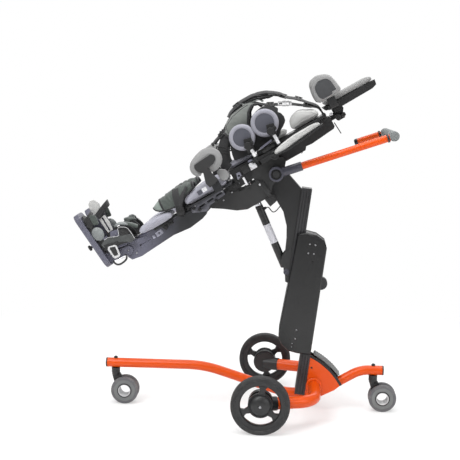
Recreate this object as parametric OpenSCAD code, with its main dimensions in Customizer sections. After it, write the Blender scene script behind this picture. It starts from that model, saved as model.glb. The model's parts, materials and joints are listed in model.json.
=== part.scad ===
// Supine standing frame for a child: a wheeled base with a leaning lift mast that
// carries a tilting body support with legs, trunk and head sections.
// Millimetres, +Z up, +X towards the push handle. The left side is at -Y.

/* [Base] */
// Distance from the middle of the whole frame back to the wheel axle
axle_x = 92.5; // [85:0.5:100]
// Outer diameter of the spine tube
spine_d = 34; // [30:1:36]
// Height of the spine tube's centre line at both casters
spine_z = 149; // [146:1:156]
// Height of the spine tube's centre line under the mast
spine_low_z = 58; // [54:1:66]
// Distance from the axle forward to the front caster stem
front_reach = 539; // [500:1:580]
// Distance from the axle back to the rear caster stem
rear_reach = 398; // [390:1:430]
// Outer diameter of the side leg tubes
leg_d = 42; // [36:1:44]
// Distance between the centre planes of the two middle wheels
track = 614; // [600:1:660]

/* [Wheels] */
// Diameter of the middle wheels
wheel_d = 200; // [190:1:204]
// Width of the tyres
tyre_w = 32; // [26:1:36]
// Diameter of the rim's inner opening
rim_open_d = 137; // [125:1:145]
// Diameter of the caster rings
caster_d = 100; // [96:1:102]
// Diameter of the open hole through the caster rings
caster_hole_d = 45; // [36:1:50]

/* [Mast] */
// Lean of the mast from upright, in degrees
mast_lean = 7; // [5:0.5:8]
// Width of the mast and of the sliding column, seen from the side
mast_w = 36; // [34:1:38]
// Depth of the mast and of the sliding column, across the frame
mast_depth = 60; // [52:1:64]
// Height of the sliding column's top end along the mast
column_top = 797; // [792:1:810]
// Thickness of each housing cover
cover_t = 14; // [10:1:18]

/* [Tilt] */
// Height of the tilt pivot above the floor
pivot_z = 863; // [855:1:880]
// Angle of the body support above the horizontal as stored, in degrees
body_tilt = 30; // [28:1:32]
// Radius of the pivot shaft
shaft_r = 12; // [9:0.5:14]
// Diameter of the tilt actuator's cylinder
cylinder_d = 28; // [24:1:30]

/* [Push handle] */
// Rise of the handle from the horizontal, in degrees
handle_rise = 19; // [17:0.5:20]
// Distance from the tilt pivot to the middle of the grip
handle_len = 414; // [410:1:430]
// Distance between the middles of the two handle tubes
handle_w = 320; // [300:1:340]
// Diameter of the handle tube
handle_d = 25; // [22:1:28]
// Diameter of the foam grip
grip_d = 34; // [30:1:36]

/* [Body support] */
// Distance from the middle plane to the middle of each leg section
leg_y = 95; // [92:1:100]
// Distance from the middle plane to the middle of each side plate
plate_y = 90; // [89:1:92]
// Width of each thigh cushion
thigh_w = 118; // [100:1:124]
// Thickness of each thigh cushion
thigh_t = 42; // [34:1:48]
// Width of each calf cushion
calf_w = 92; // [80:1:100]
// Length of each foot plate
foot_len = 213; // [190:1:216]
// Width of each foot plate
foot_w = 92; // [86:1:94]
// Distance from the middle plane to the inner face of the trunk side cushions
trunk_half = 118; // [110:1:122]
// Thickness of the trunk side cushions
lateral_t = 30; // [24:1:32]
// Radius of the upper trunk side cushions
lateral_r = 48; // [44:1:50]
// Width of the head cushion
head_w = 170; // [150:1:176]
// Thickness of the head cushion
head_t = 18; // [14:1:24]

/* [Hidden] */

// Clearances: round fit, parts that move past each other, and soft parts beside others
fit_gap = 0.05;
move_gap = 0.3;
soft_gap = 0.3;
// One overrun for every cut
over = 1;
// Facet counts of true rounds and of blended outlines
round_fn = 72;
blend_fn = 32;
tube_sides = 20;
arc_steps = 8;
corner_steps = 5;

// Base values
spine_r = spine_d / 2;
leg_r_tube = leg_d / 2;
cap_t = 5;
spine_front_over = 30;
spine_rear_over = 32;
spine_drop_x = -215;
spine_low_front_x = 78;
spine_low_rear_x = 198;
spine_rise_x = 352;
spine_bends = [400, 200, 100, 120];
bolt_r = 7;
bolt_h = 5;
wheel_r = wheel_d / 2;
wheel_y = track / 2;
tyre_h = 16;
tyre_in_r = wheel_r - tyre_h;
rim_hole_r = rim_open_d / 2;
rim_half = 12;
spoke_w = 36;
spoke_half = 7;
hub_r = 34;
hub_half = 16;
dome_h = 9;
drum_r = 42;
drum_y = wheel_y - 39;
drum_half = 18;
drum_edge = 5;
axle_r = 6;
leg_corner_x = 185;
leg_corner_y = 215;
leg_bend = 80;
leg_socket_r = leg_r_tube + 3;
leg_socket_end = 56;
leg_start = 46;
leg_z = 92;
collar_t = 6;
collar_r = leg_r_tube + 8;
leg_in_angle = atan2(drum_y - leg_corner_y, leg_corner_x);

// Caster values
ring_half = 9;
ring_y = 17;
hub_tube_wall = 4;
hub_tube_r = caster_hole_d / 2 + hub_tube_wall;
caster_r = caster_d / 2;
trail = 35;
stem_r = 15.5;
stem_h = 20;
fork_half = 6;
fork_ring_r = hub_tube_r + 7;

// Mast values, in the mast's own leaning frame
mast_foot_x = 127;
mast_half = mast_w / 2;
mast_side = mast_depth / 2;
mast_bottom = 58;
mast_top = 600;
mast_groove = 3;
groove_pitch = 10;
column_x = -82;
column_half = mast_w / 2;
column_front = column_x - column_half;
column_back = column_x + column_half;
column_bottom = 285;
column_cap_t = 4;
core_front = column_back + move_gap;
core_side = mast_side - mast_groove;
cover_in = mast_side + 0.5;
cover_bevel = 4;
housing_front = -108;
housing_low = 211;
housing_high = 647;
housing_place = [housing_front, housing_low];
housing_size = [mast_half - over - housing_front, housing_high - housing_low];
housing_shares = [[0, 0.17], [0.02, 0.1], [0.14, 0.05], [0.33, 0.01], [0.63, 0], [1, 0.005], [1, 0.9],
    [0.92, 0.95], [0.67, 0.99], [0.38, 1], [0.13, 0.98]];
knob_r = 23;
knob_half = 12;
knob_z = 469;
screw_r = 3.2;
screw_depth = 1.5;
screw_shares = [[0.512, 0.911], [0.672, 0.911], [0.504, 0.837], [0.664, 0.837], [0.648, 0.773],
    [0.496, 0.193], [0.496, 0.119], [0.432, 0.078], [0.432, 0.048]];

// Fairing and pedal values, in the mast's frame
cheek_in = 23;
cheek_t = 4;
cheek_out = cheek_in + cheek_t;
fairing_x = mast_half + move_gap;
pedal_centre = [-58.6, -31.3];
pedal_r = 264;
pedal_skin = 7;
pedal_from = 43.75;
pedal_to = 70;
pedal_turn = 3.75;
pedal_half = cheek_in - 0.7;
pedal_web_half = 7;
pedal_pin = [34.5, 162];
pedal_pin_r = 4;
pedal_boss_r = 10;
trim_r = 243;
trim_h = 9;
trim_from = 35.8;
trim_to = 71;
trim_turn = 4;
wall_drop = 4;
rib_h = 1.4;
rib_w = 2.4;
rib_turn = pedal_turn / 2;
rib_inset = 1;
web_turns = [50, 66];

// Tilt values
pivot_x = 35;
pivot_s = -8.6;
pivot_n = 21.1;
arm_half = 22;
boss_r = 26;
boss_half = 40;
lug_pin = [-111, 495];
lug_in = cylinder_d / 2 + 2.5;
lug_t = 8;
lug_pin_r = 5;
tilt_pin = [-111.7, 72.6];
tilt_eye_r = 9;
tilt_eye_half = 7.5;
rod_r = 7;
cylinder_len = 255;
cylinder_start = 17;
cylinder_eye_half = 10;
cylinder_eye_r = 10;
rod_in_len = 92;

// Handle values, in the handle's own frame
handle_y = handle_w / 2;
handle_r = handle_d / 2;
sleeve_len = 91;
sleeve_wall = 3;
sleeve_r = handle_r + sleeve_wall;
ring_r = 25;
ring_in_r = 18;
ring_half_w = 16;
ring_recess = 4;
core_bar_r = 8;
core_stub_r = 6.5;
grip_over = 14;
return_len = 112;
shaft_half = handle_y + ring_half_w - over;
grip_r = grip_d / 2;

// Body values: s runs along the support towards the head, n stands square to it
plate_half = 3;
plate_step = 0.3;
hub_side_r = 24;
plate_place = [-274, -42];
plate_size = [314, 118];
plate_shares = [[0, 0.63], [0.03, 0.53], [0.14, 0.35], [0.26, 0.12], [0.37, 0], [0.6, 0.01], [0.675, 0.05],
    [0.745, 0.27], [0.81, 0.33], [0.89, 0.36], [0.93, 0.475], [1, 0.71], [0.985, 0.87], [0.87, 0.95],
    [0.755, 0.96], [0.645, 0.96], [0.58, 0.79], [0.605, 0.61], [0.4, 0.56], [0.29, 0.72], [0.235, 0.81]];
stop_bar_shares = [[0.6, 0.67], [0.635, 0.58], [0.685, 0.04], [0.65, -0.02], [0.61, 0.3]];
stop_block_shares = [[0.59, 0.02], [0.7, 0.02], [0.7, -0.19], [0.605, -0.25]];

// Seat frame values
seat_front = -150;
seat_back = -45;
seat_n = 99;
board_t = 5;
web_t = 6;
web_out = plate_y - plate_half - plate_step;
web_low_n = 34;
web_mid_n = 60;
web_back_s = -80;
web_back_n = 42;
abduct_s = -170;
abduct_y = 73;
abduct_boss_r = 12;
abduct_pin_r = 6;
cross_bar_s = -70;
cross_bar_n = 82;
cross_bar_r = 8;
cheek_plate_t = 5;
cheek_gap = 4;
cheek_half = 13;
stub_r = 5;
seat_pad_t = 26;
seat_pad_front = -154;
seat_pad_back = -38;

// Back values
box_half = 62;
box_place = [-40, 38];
box_size = [283, 66];
box_shares = [[0, 0.7], [0.07, 0.42], [0.285, 0], [0.55, 0.015], [0.58, 0.18], [0.655, 0.15], [0.975, 0.29],
    [1, 0.39], [1, 0.97], [0.92, 1], [0.035, 1]];
board_half = 104;
back_board_place = [-34, 104];
back_board_size = [259, 13];
back_board_shares = [[0, -0.1], [0.48, -0.1], [1, 0.3], [1, 1], [0.48, 0.92], [0, 0.7]];
ear_place = [-28, 50];
ear_size = [62, 24];
ear_shares = [[0, 0.67], [0.87, 0], [1, 0.5], [0.45, 0.83], [0.13, 1]];
rail_s = [-34, 80];
rail_n = [74, 90];
rail_half_len = 166;
strap_bar_s = 226;
strap_bar_len = 8;
strap_bar_top = 111.5;
head_guide_r = 5;
head_guide_y = 30;
head_guide_n = 88;
head_guide_s = 165;
low_pad_s = [-26, 96];
low_pad_n = 116.5;
low_pad_t = 18;
wedge_half = 90;
wedge_r = 12;
wedge_place = [112, back_board_place[1] + back_board_size[1] + wedge_r + soft_gap];
wedge_size = [102, 36];
wedge_shares = [[0, 0], [1, 0], [0.38, 1]];

// Arm support values
arm_y = 216;
arm_w = 66;
arm_hinge_s = 20;
arm_hinge_n = 82;
arm_hinge_r = 14;
arm_bar_r = 6;
arm_place = [8, 77];
arm_size = [207, 39];
arm_pad_shares = [[0, 0.28], [0.08, 0.08], [0.32, 0], [0.64, 0.18], [0.96, 0.44], [1, 0.62], [0.96, 0.79],
    [0.59, 1], [0.25, 0.87], [0.04, 0.56]];
arm_trough_d = 150;
arm_trough_drop = 6;

// Hip guide values
hip_place = [-241, 90];
hip_size = [81, 98];
hip_shares = [[0, 0.82], [0.06, 0.94], [0.88, 1], [1, 0.9], [0.975, 0.775], [0.8, 0.67], [0.5, 0.62],
    [0.65, 0.1], [0.185, 0], [0.11, 0.2], [0.235, 0.55], [0.04, 0.69]];
hip_round = 5;
hip_s = -205;
hip_n = 178;
hip_y = 158;
hip_t = 26;
hip_len = 118;
hip_high = 84;
hip_plate_t = 5;
hip_bar_s = -207;
hip_bar_n = 97;
hip_bar_r = 7;

// Leg section values
leg_plate_n = 62.5;
leg_plate_t = 4.5;
leg_plate_s = [-324, -158];
leg_plate_y = [27, 141];
upstand_s = [-222, -192];
upstand_y = [143, 147];
upstand_top = 106;
rail_half = 13;
rail_place = [-604, -7];
rail_size = [324, 64];
rail_shares = [[0, 0.3], [0.025, 0.08], [0.135, 0], [0.55, 0.17], [0.75, 0.08], [0.91, 0.2], [0.97, 0.31],
    [1, 0.48], [0.99, 0.86], [0.91, 0.86], [0.77, 0.92], [0.67, 0.95], [0.56, 1], [0.3, 1], [0.29, 0.84],
    [0.15, 0.95], [0.075, 0.95], [0, 0.83]];
rail_slot_shares = [[0.17, 0.53], [0.31, 0.575], [0.31, 0.66], [0.17, 0.61]];
bracket_place = [-330, 20];
bracket_size = [133, 43.5];
bracket_shares = [[0, 0.46], [0.36, 0], [0.51, 0.32], [0.99, 0.5], [1, 1], [0.09, 1], [0, 0.69]];
bracket_in = 1.4;
bracket_slot_shares = [[0.256, 0.6], [0.51, 0.667], [0.78, 0.736]];
bracket_slot_r = 3;
bracket_slot_len = 18;
knee_bar_s = -365;
knee_bar_n = 48;
knee_bar_r = 4;
ankle_s = -590;
ankle_n = 34;
ankle_r = 20;
ankle_pin_r = 6;
ear_t = 9;
ear_r = 16;
ear_from = 4;
ear_to = 44;
foot_s = -663;
foot_n = 18;
foot_lean = 4.7;
foot_t = 20;
foot_corner = 26;
thigh_s = [-338, -160];
thigh_in = 24;
thigh_n = leg_plate_n + leg_plate_t + soft_gap;
calf_s = [-529, -385];
calf_n = 57;
calf_t = 35;
cushion_edge = 9;

// Knee cup values
knee_s = -358;
knee_n = 94;
knee_len = 160;
knee_wide = 104;
knee_high = 104;
knee_wall = 4;
knee_rim_n = calf_n + calf_t + plate_half + over;
knee_back_s = -344;
knee_back_n = thigh_n + thigh_t + 5;
knee_strap_w = 24;
knee_strap_t = 3;

// Sandal values
sandal_start = 48;
sandal_len = 150;
sandal_w = 72;
sandal_wall = 4;
sole_t = 8;
heel_h = 58;
side_h = 34;
toe_h = 44;
toe_len = 92;

// Trunk side support values
lateral_s = [-51, 39.5];
lateral_n = [185, 191];
lateral_low_r = lateral_r - plate_half;
lateral_high_r = lateral_r - plate_step;
lateral_shares = [[0, 0.07], [0.66, 0.07], [0.7, 0], [0.92, 0], [1, 0.25], [1, 0.7],
    [0.94, 0.9], [0.8, 1], [0, 1]];
post_r = 5.5;
post_in = 7;
post_shift = 9;
foot_bar_s = [-60, 70];
foot_bar_t = 10;
foot_bar_w = 11;
grip_place = [-16, -10];
grip_size = [34, 26];
grip_shares = [[0, 0], [0.94, 0], [1, 0.77], [0.24, 1]];
grip_w = 14;
post_drop = 24;

// Head section values
head_s = [236, 436];
head_n = 139;
head_place = [236, 112];
head_size = [200, 26.7];
head_shares = [[0.03, 0.48], [0.3, 0], [0.9, 0.11], [0.985, 0.33], [1, 1], [0, 1]];
head_board_half = head_w / 2 - 8;
post_place = [246, 72];
post_size = [54, 58];
post_shares = [[0.37, 0], [0.81, 0], [0.81, 0.28], [1, 0.55], [0.93, 1], [0.3, 1], [0.3, 0.53], [0, 0.53],
    [0, 0.31], [0.37, 0.31]];
post_half = 38;
wing_s = 268;
wing_n = 194;
wing_len = 92;
wing_high = 84;
wing_t = 24;
wing_y = head_w / 2 + 6;
wing_pin_n = 128;
wing_pin_y = head_w / 2 + 10;
wing_pin_r = 3;
wing_knuckle_r = 7;
wing_ear_s = [252, 290];
wing_ear_t = 6;
wing_leaf_t = 4;

// Harness values
vest_place = [-118, 148];
vest_size = [184, 136];
vest_shares = [[0, 0.02], [0.03, 0.38], [0.1, 0.65], [0.235, 0.84], [0.375, 0.94], [0.575, 1], [0.79, 0.985],
    [0.9, 0.87], [0.98, 0.65], [1, 0.02]];
vest_half = 108;
vest_corner = 62;
vest_t = 9;
vest_mouth_n = 222;
side_tab_s = [-62, -32];
side_tab_t = 4;
strap_w = 25;
strap_t = 3;
strap_y = 46;
strap_place = [25, 112];
strap_size = [206, 174];
top_strap_shares = [[0, 0.975], [0.12, 0.99], [0.28, 0.96], [0.52, 0.79], [0.79, 0.56], [0.94, 0.33],
    [1, 0.15], [1, 0]];
low_strap_shares = [[0.13, 0.79], [0.32, 0.68], [0.5, 0.6], [0.7, 0.475], [0.84, 0.36]];
cable_r = 1.8;
gland_z = 238;
gland_r = 5.5;
gland_hole_r = 4;
gland_len = 8;

// Unit direction of a vector
function unit(v) = v / norm(v);
// Points of an outline given as shares of two sizes, from a place
function placed(shares, place, size) = [for (p = shares) place + [p[0] * size[0], p[1] * size[1]]];
// Arc that rounds the corner b between a and c with radius r
function corner_arc(a, b, c, r) =
    let (u = unit(a - b), w = unit(c - b))
    let (half = acos(u * w) / 2, reach = r / tan(half))
    let (centre = b + unit(u + w) * r / sin(half))
    let (e0 = b + u * reach - centre, e1 = b + w * reach - centre, turn = 180 - 2 * half)
    [for (i = [0 : arc_steps])
        centre + (e0 * sin((1 - i / arc_steps) * turn) + e1 * sin(i / arc_steps * turn)) / sin(turn)];
// Path with its inner corners rounded
function rounded_path(p, radii) = concat([p[0]],
    [for (i = [1 : len(p) - 2]) each corner_arc(p[i - 1], p[i], p[i + 1], radii[i - 1])],
    [p[len(p) - 1]]);
// Flat band of a given thickness along a path in a plane
function band(path, t) =
    let (last = len(path) - 1)
    let (side = [for (i = [0 : last])
        let (d = unit(path[min(i + 1, last)] - path[max(i - 1, 0)])) [-d[1], d[0]] * t / 2])
    concat([for (i = [0 : last]) path[i] + side[i]], [for (i = [last : -1 : 0]) path[i] - side[i]]);
// Outline of a rounded rectangle, anticlockwise
function rounded_outline(l, w, r) = [for (q = [0 : 3]) for (i = [0 : corner_steps])
    let (a = q * 90 + i * 90 / corner_steps)
    [((q == 0 || q == 3) ? 1 : -1) * (l / 2 - r) + r * cos(a), (q < 2 ? 1 : -1) * (w / 2 - r) + r * sin(a)]];

// Frames of the parts
module at_axle() { translate([axle_x, 0, 0]) children(); }
module at_mast() { at_axle() translate([mast_foot_x, 0, 0]) rotate([0, mast_lean, 0]) children(); }
module at_pivot() { at_axle() translate([pivot_x, 0, pivot_z]) children(); }
module at_handle() { at_pivot() rotate([0, -handle_rise, 0]) children(); }
module at_body() {
    at_pivot() rotate([0, -body_tilt, 0]) translate([-pivot_s, 0, -pivot_n]) children();
}
module at_foot(side) {
    at_body() on_side(side) translate([foot_s, -leg_y, foot_n]) rotate([0, -foot_lean, 0]) children();
}
// Side 0 is the left one, side 1 its mirror image
module on_side(side) {
    if (side == 0) children();
    else mirror([0, 1, 0]) children();
}
// A side outline given thickness between two places across the frame
module slab(y0, y1) { translate([0, y1, 0]) rotate([90, 0, 0]) linear_extrude(y1 - y0) children(); }
// Round bar across the frame
module bar(x, z, r, y0, y1) {
    translate([x, y1, z]) rotate([90, 0, 0]) cylinder(h = y1 - y0, r = r, $fn = round_fn);
}
// Tube swept along a path; ref is a direction that the path never runs along
module tube_along(path, r, sides, ref) {
    last = len(path) - 1;
    rings = [for (i = [0 : last])
        let (t = unit(path[min(i + 1, last)] - path[max(i - 1, 0)]))
        let (a = unit(cross(t, ref)))
        let (b = cross(a, t))
        for (j = [0 : sides - 1]) path[i] + r * (cos(360 * j / sides) * a + sin(360 * j / sides) * b)];
    walls = [for (i = [0 : last - 1]) for (j = [0 : sides - 1])
        let (k = (j + 1) % sides)
        [i * sides + j, i * sides + k, (i + 1) * sides + k, (i + 1) * sides + j]];
    start = [for (j = [sides - 1 : -1 : 0]) j];
    end = [for (j = [0 : sides - 1]) last * sides + j];
    polyhedron(rings, concat([start], walls, [end]), convexity = 6);
}
// Crowned cushion on the plane z = 0 with drawn-in sides
cushion_shares = [[0, 0.9], [0.14, 0.25], [0.4, 0], [0.68, 0.12], [0.87, 0.5], [0.97, 1.1], [1, 2]];
module cushion(l, w, t, r, edge, crown) {
    shape = [for (k = cushion_shares)
        for (p = rounded_outline(l - 2 * k[1] * edge, w - 2 * k[1] * edge, max(r - k[1] * edge, edge / 2)))
        [p[0], p[1], k[0] * t]];
    n = 4 * (corner_steps + 1);
    layers = len(cushion_shares);
    apex = len(shape);
    walls = [for (i = [0 : layers - 2]) for (j = [0 : n - 1])
        let (k = (j + 1) % n)
        each [[i * n + j, (i + 1) * n + j, (i + 1) * n + k], [i * n + j, (i + 1) * n + k, i * n + k]]];
    base = [for (j = [1 : n - 2]) [0, j, j + 1]];
    lid = [for (j = [0 : n - 1]) [(layers - 1) * n + j, apex, (layers - 1) * n + (j + 1) % n]];
    polyhedron(concat(shape, [[0, 0, t + crown]]), concat(base, walls, lid), convexity = 4);
}

// Base: spine, legs, hubs, fairing, mast and housing
spine_path = rounded_path([[-front_reach - spine_front_over, 0, spine_z], [spine_drop_x, 0, spine_z],
    [spine_low_front_x, 0, spine_low_z], [spine_low_rear_x, 0, spine_low_z],
    [spine_rise_x, 0, spine_z], [rear_reach + spine_rear_over, 0, spine_z]], spine_bends);

module base_spine() {
    color("orangered") at_axle() tube_along(spine_path, spine_r, tube_sides, [0, 1, 0]);
}

module spine_caps() {
    color("dimgray") at_axle() {
        translate([-front_reach - spine_front_over - cap_t, 0, spine_z])
            rotate([0, 90, 0]) cylinder(h = cap_t, r = spine_r, $fn = round_fn);
        translate([rear_reach + spine_rear_over, 0, spine_z])
            rotate([0, 90, 0]) cylinder(h = cap_t, r = spine_r, $fn = round_fn);
        for (x = [-front_reach, rear_reach])
            translate([x, 0, spine_z + spine_r]) cylinder(h = bolt_h, r = bolt_r, $fn = round_fn);
    }
}

leg_path = rounded_path([
    [leg_start * cos(leg_in_angle), -drum_y + leg_start * sin(leg_in_angle), leg_z],
    [leg_corner_x, -leg_corner_y, leg_z], [leg_corner_x, -cheek_out, leg_z]], [leg_bend]);

module leg(side) {
    color("orangered") at_axle() on_side(side) {
        tube_along(leg_path, leg_r_tube, tube_sides, [0, 0, 1]);
        bar(leg_corner_x, leg_z, collar_r, -mast_side - move_gap - collar_t, -mast_side - move_gap);
    }
}
module leg_l() { leg(0); }
module leg_r() { leg(1); }

// Drum beside the wheel, its axle stub and the socket that holds the leg
module hub(side) {
    axle_end = wheel_y + hub_half;
    color("dimgray") at_axle() on_side(side) translate([0, 0, wheel_r]) difference() {
        union() {
            bar(0, 0, drum_r, -drum_y - drum_half + drum_edge, -drum_y + drum_half - drum_edge);
            bar(0, 0, drum_r - drum_edge, -drum_y - drum_half, -drum_y + drum_half);
            bar(0, 0, axle_r, -axle_end, -drum_y);
            translate([0, -drum_y, leg_z - wheel_r]) rotate([0, 0, leg_in_angle]) rotate([0, 90, 0])
                cylinder(h = leg_socket_end, r = leg_socket_r, $fn = round_fn);
        }
        translate([0, -drum_y, leg_z - wheel_r]) rotate([0, 0, leg_in_angle])
            translate([leg_start - fit_gap, 0, 0]) rotate([0, 90, 0])
            cylinder(h = leg_socket_end, r = leg_r_tube + 4 * fit_gap, $fn = round_fn);
    }
}
module hub_l() { hub(0); }
module hub_r() { hub(1); }

// Side outline of the fairing behind the mast, as shares of its length and height
fairing_len = 127;
fairing_h = 150;
fairing_wall_z = 100;
fairing_low_shares = [[0, 0], [0.42, 0.01], [0.81, 0.23]];
function arc_at(r, a) = pedal_centre + r * [cos(a), sin(a)];
function arc_z(r, x) = pedal_centre[1] + sqrt(pow(r, 2) - pow(x - pedal_centre[0], 2));
module fairing_outline() {
    low = placed(fairing_low_shares, [fairing_x, mast_bottom], [fairing_len, fairing_h]);
    arc = [for (a = [trim_from : trim_turn : trim_to]) arc_at(trim_r, a)];
    polygon(concat(low, arc, [[fairing_x, arc_z(trim_r, fairing_x)]]));
}
module fairing() {
    wall_top = arc_z(trim_r, fairing_x + cheek_t) - wall_drop;
    color("orangered") at_mast() {
        for (y = [-cheek_out, cheek_in]) slab(y, y + cheek_t) fairing_outline();
        translate([fairing_x, -cheek_in - over, fairing_wall_z])
            cube([cheek_t, 2 * cheek_in + 2 * over, wall_top - fairing_wall_z]);
        bar(pedal_pin[0], pedal_pin[1], pedal_pin_r, -cheek_in, cheek_in);
    }
}

module pedal_trim() {
    steps = [for (a = [trim_from : trim_turn : trim_to]) a];
    color("black") at_mast() for (side = [0, 1]) on_side(side)
        slab(-cheek_out - move_gap, -cheek_in) polygon(concat(
            [for (a = steps) arc_at(trim_r, a)],
            [for (r = [trim_r, trim_r + trim_h]) [fairing_x, arc_z(r, fairing_x)]],
            [for (i = [len(steps) - 1 : -1 : 0]) arc_at(trim_r + trim_h, steps[i])]));
}

module foot_pedal() {
    outer = [for (a = [pedal_from : pedal_turn : pedal_to]) arc_at(pedal_r, a)];
    inner = [for (a = [pedal_to : -pedal_turn : pedal_from]) arc_at(pedal_r - pedal_skin, a)];
    color("lightgray") at_mast() difference() {
        union() {
            slab(-pedal_half, pedal_half) polygon(concat(outer, inner));
            for (a = [pedal_from + rib_turn / 2 : rib_turn : pedal_to])
                translate([pedal_centre[0], 0, pedal_centre[1]]) rotate([0, 90 - a, 0])
                translate([-rib_w / 2, rib_inset - pedal_half, pedal_r - rib_h])
                cube([rib_w, 2 * pedal_half - 2 * rib_inset, 2 * rib_h]);
            slab(-pedal_web_half, pedal_web_half) polygon([
                pedal_pin - [pedal_boss_r / 2, 0], pedal_pin + [pedal_boss_r, -pedal_boss_r] / 2,
                for (a = web_turns) arc_at(pedal_r - pedal_skin / 2, a)]);
            bar(pedal_pin[0], pedal_pin[1], pedal_boss_r, -pedal_web_half, pedal_web_half);
        }
        bar(pedal_pin[0], pedal_pin[1], pedal_pin_r + fit_gap, -pedal_web_half - over, pedal_web_half + over);
    }
}

// Grooves down both faces of a profile
module face_grooves(x, z0, z1) {
    for (k = [-1, 0, 1]) for (y = [-mast_side - over, mast_side - mast_groove])
        translate([x + k * groove_pitch - mast_groove / 2, y, z0])
        cube([mast_groove, mast_groove + over, z1 - z0]);
}

// Outline of the housing covers
module housing_outline(inset) {
    offset(delta = -inset) polygon(placed(housing_shares, housing_place, housing_size));
}

module mast() {
    color("black") at_mast() difference() {
        union() {
            translate([-mast_half, -mast_side, mast_bottom])
                cube([mast_w, mast_depth, mast_top - mast_bottom]);
            slab(-core_side, core_side) intersection() {
                housing_outline(over);
                translate([core_front, housing_low]) square([mast_w - core_front, housing_high]);
            }
            bar(mast_half - over, knob_z, knob_r, -knob_half, knob_half);
        }
        face_grooves(0, mast_bottom - over, mast_top + over);
        rotate([0, -mast_lean, 0]) translate([-mast_foot_x, 0, spine_low_z]) {
            rotate([0, 90, 0])
                cylinder(h = 2 * mast_foot_x, r = spine_r + move_gap, $fn = round_fn);
            translate([0, -spine_r - move_gap, -spine_low_z])
                cube([2 * mast_foot_x, spine_d + 2 * move_gap, spine_low_z]);
        }
    }
}

module housing() {
    color("black") at_mast() for (side = [0, 1]) on_side(side) difference() {
        hull() {
            slab(-cover_in - cover_t + cover_bevel, -cover_in) housing_outline(0);
            slab(-cover_in - cover_t, -cover_in) housing_outline(cover_bevel);
        }
        for (p = placed(screw_shares, housing_place, housing_size))
            bar(p[0], p[1], screw_r, -cover_in - cover_t - over, -cover_in - cover_t + screw_depth);
    }
}

// Lift: sliding column and the arm that carries the body support
module column() {
    color("dimgray") at_mast() difference() {
        union() {
            translate([column_front, -mast_side, column_bottom])
                cube([2 * column_half, mast_depth, column_top - column_bottom]);
            translate([column_front + over / 2, -mast_side + over / 2, column_top - over])
                cube([2 * column_half - over, mast_depth - over, column_cap_t + over]);
        }
        face_grooves(column_x, column_bottom - over, column_top - over);
    }
}

// Pivot's place in the mast's frame
pivot_m = [(pivot_x - mast_foot_x) * cos(mast_lean) - pivot_z * sin(mast_lean),
    (pivot_x - mast_foot_x) * sin(mast_lean) + pivot_z * cos(mast_lean)];
arm_join_x = column_front - plate_step;
arm_web_low = 566;
arm_reach = arm_join_x - pivot_m[0];
arm_drop = column_top - arm_web_low;
arm_shares = [[0, -0.01], [-0.915, 0.32], [-1.17, 0.3], [-1.27, 0.21], [-1.3, 0.09], [-1.27, 0],
    [-0.86, -0.23], [-0.55, -0.39], [-0.355, -0.6], [-0.29, -0.8], [-0.27, -1], [0, -1]];
lug_reach = 35;
lug_top = 590;
lug_h = 133;
lug_shares = [[0, 0], [-0.74, -0.18], [-1, -0.29], [-1, -0.47], [-0.51, -0.68], [-0.29, -0.98], [0, -1]];

module carriage_arm() {
    color("black") at_mast() difference() {
        union() {
            slab(-arm_half, arm_half)
                polygon(placed(arm_shares, [arm_join_x, column_top], [arm_reach, arm_drop]));
            slab(-lug_in - lug_t, lug_in + lug_t)
                polygon(placed(lug_shares, [arm_join_x, lug_top], [lug_reach, lug_h]));
            bar(pivot_m[0], pivot_m[1], boss_r, -boss_half, boss_half);
            bar(pivot_m[0], pivot_m[1], shaft_r, -shaft_half, plate_y + 2 * web_t);
        }
        translate([arm_join_x - 2 * lug_reach, -lug_in, 0])
            cube([2 * lug_reach + over, 2 * lug_in, arm_web_low - move_gap]);
    }
    color("dimgray") at_mast() bar(lug_pin[0], lug_pin[1], lug_pin_r, -lug_in - over, lug_in + over);
}

// Actuator frame: from the lug pin towards the tilt pin
tilt_dir = let (c = cos(body_tilt), s = sin(body_tilt))
    let (ds = tilt_pin[0] - pivot_s, dn = tilt_pin[1] - pivot_n)
    [pivot_x + ds * c - dn * s, pivot_z + ds * s + dn * c];
lug_place = [mast_foot_x + lug_pin[0] * cos(mast_lean) + lug_pin[1] * sin(mast_lean),
    lug_pin[1] * cos(mast_lean) - lug_pin[0] * sin(mast_lean)];
actuator_len = norm(tilt_dir - lug_place);
actuator_lean = atan2(tilt_dir[0] - lug_place[0], tilt_dir[1] - lug_place[1]);
module at_actuator() {
    at_axle() translate([lug_place[0], 0, lug_place[1]]) rotate([0, actuator_lean, 0]) children();
}

module tilt_cylinder() {
    r = cylinder_d / 2;
    color("black") at_actuator() difference() {
        union() {
            translate([0, 0, cylinder_start])
                cylinder(h = cylinder_len - cylinder_start, r = r, $fn = round_fn);
            translate([-cylinder_eye_r / 2, -cylinder_eye_half, 0])
                cube([cylinder_eye_r, 2 * cylinder_eye_half, cylinder_start + over]);
            bar(0, 0, cylinder_eye_r, -cylinder_eye_half, cylinder_eye_half);
            translate([r / 2, 0, gland_z]) rotate([0, 90, 0])
                cylinder(h = r / 2 + gland_len, r = gland_r, $fn = round_fn);
        }
        translate([r - over, 0, gland_z]) rotate([0, 90, 0])
            cylinder(h = 2 * gland_len, r = gland_hole_r, $fn = round_fn);
        bar(0, 0, lug_pin_r + fit_gap, -cylinder_eye_half - over, cylinder_eye_half + over);
        translate([0, 0, cylinder_start + cylinder_d])
            cylinder(h = cylinder_len, r = rod_r + fit_gap, $fn = round_fn);
    }
}

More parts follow.
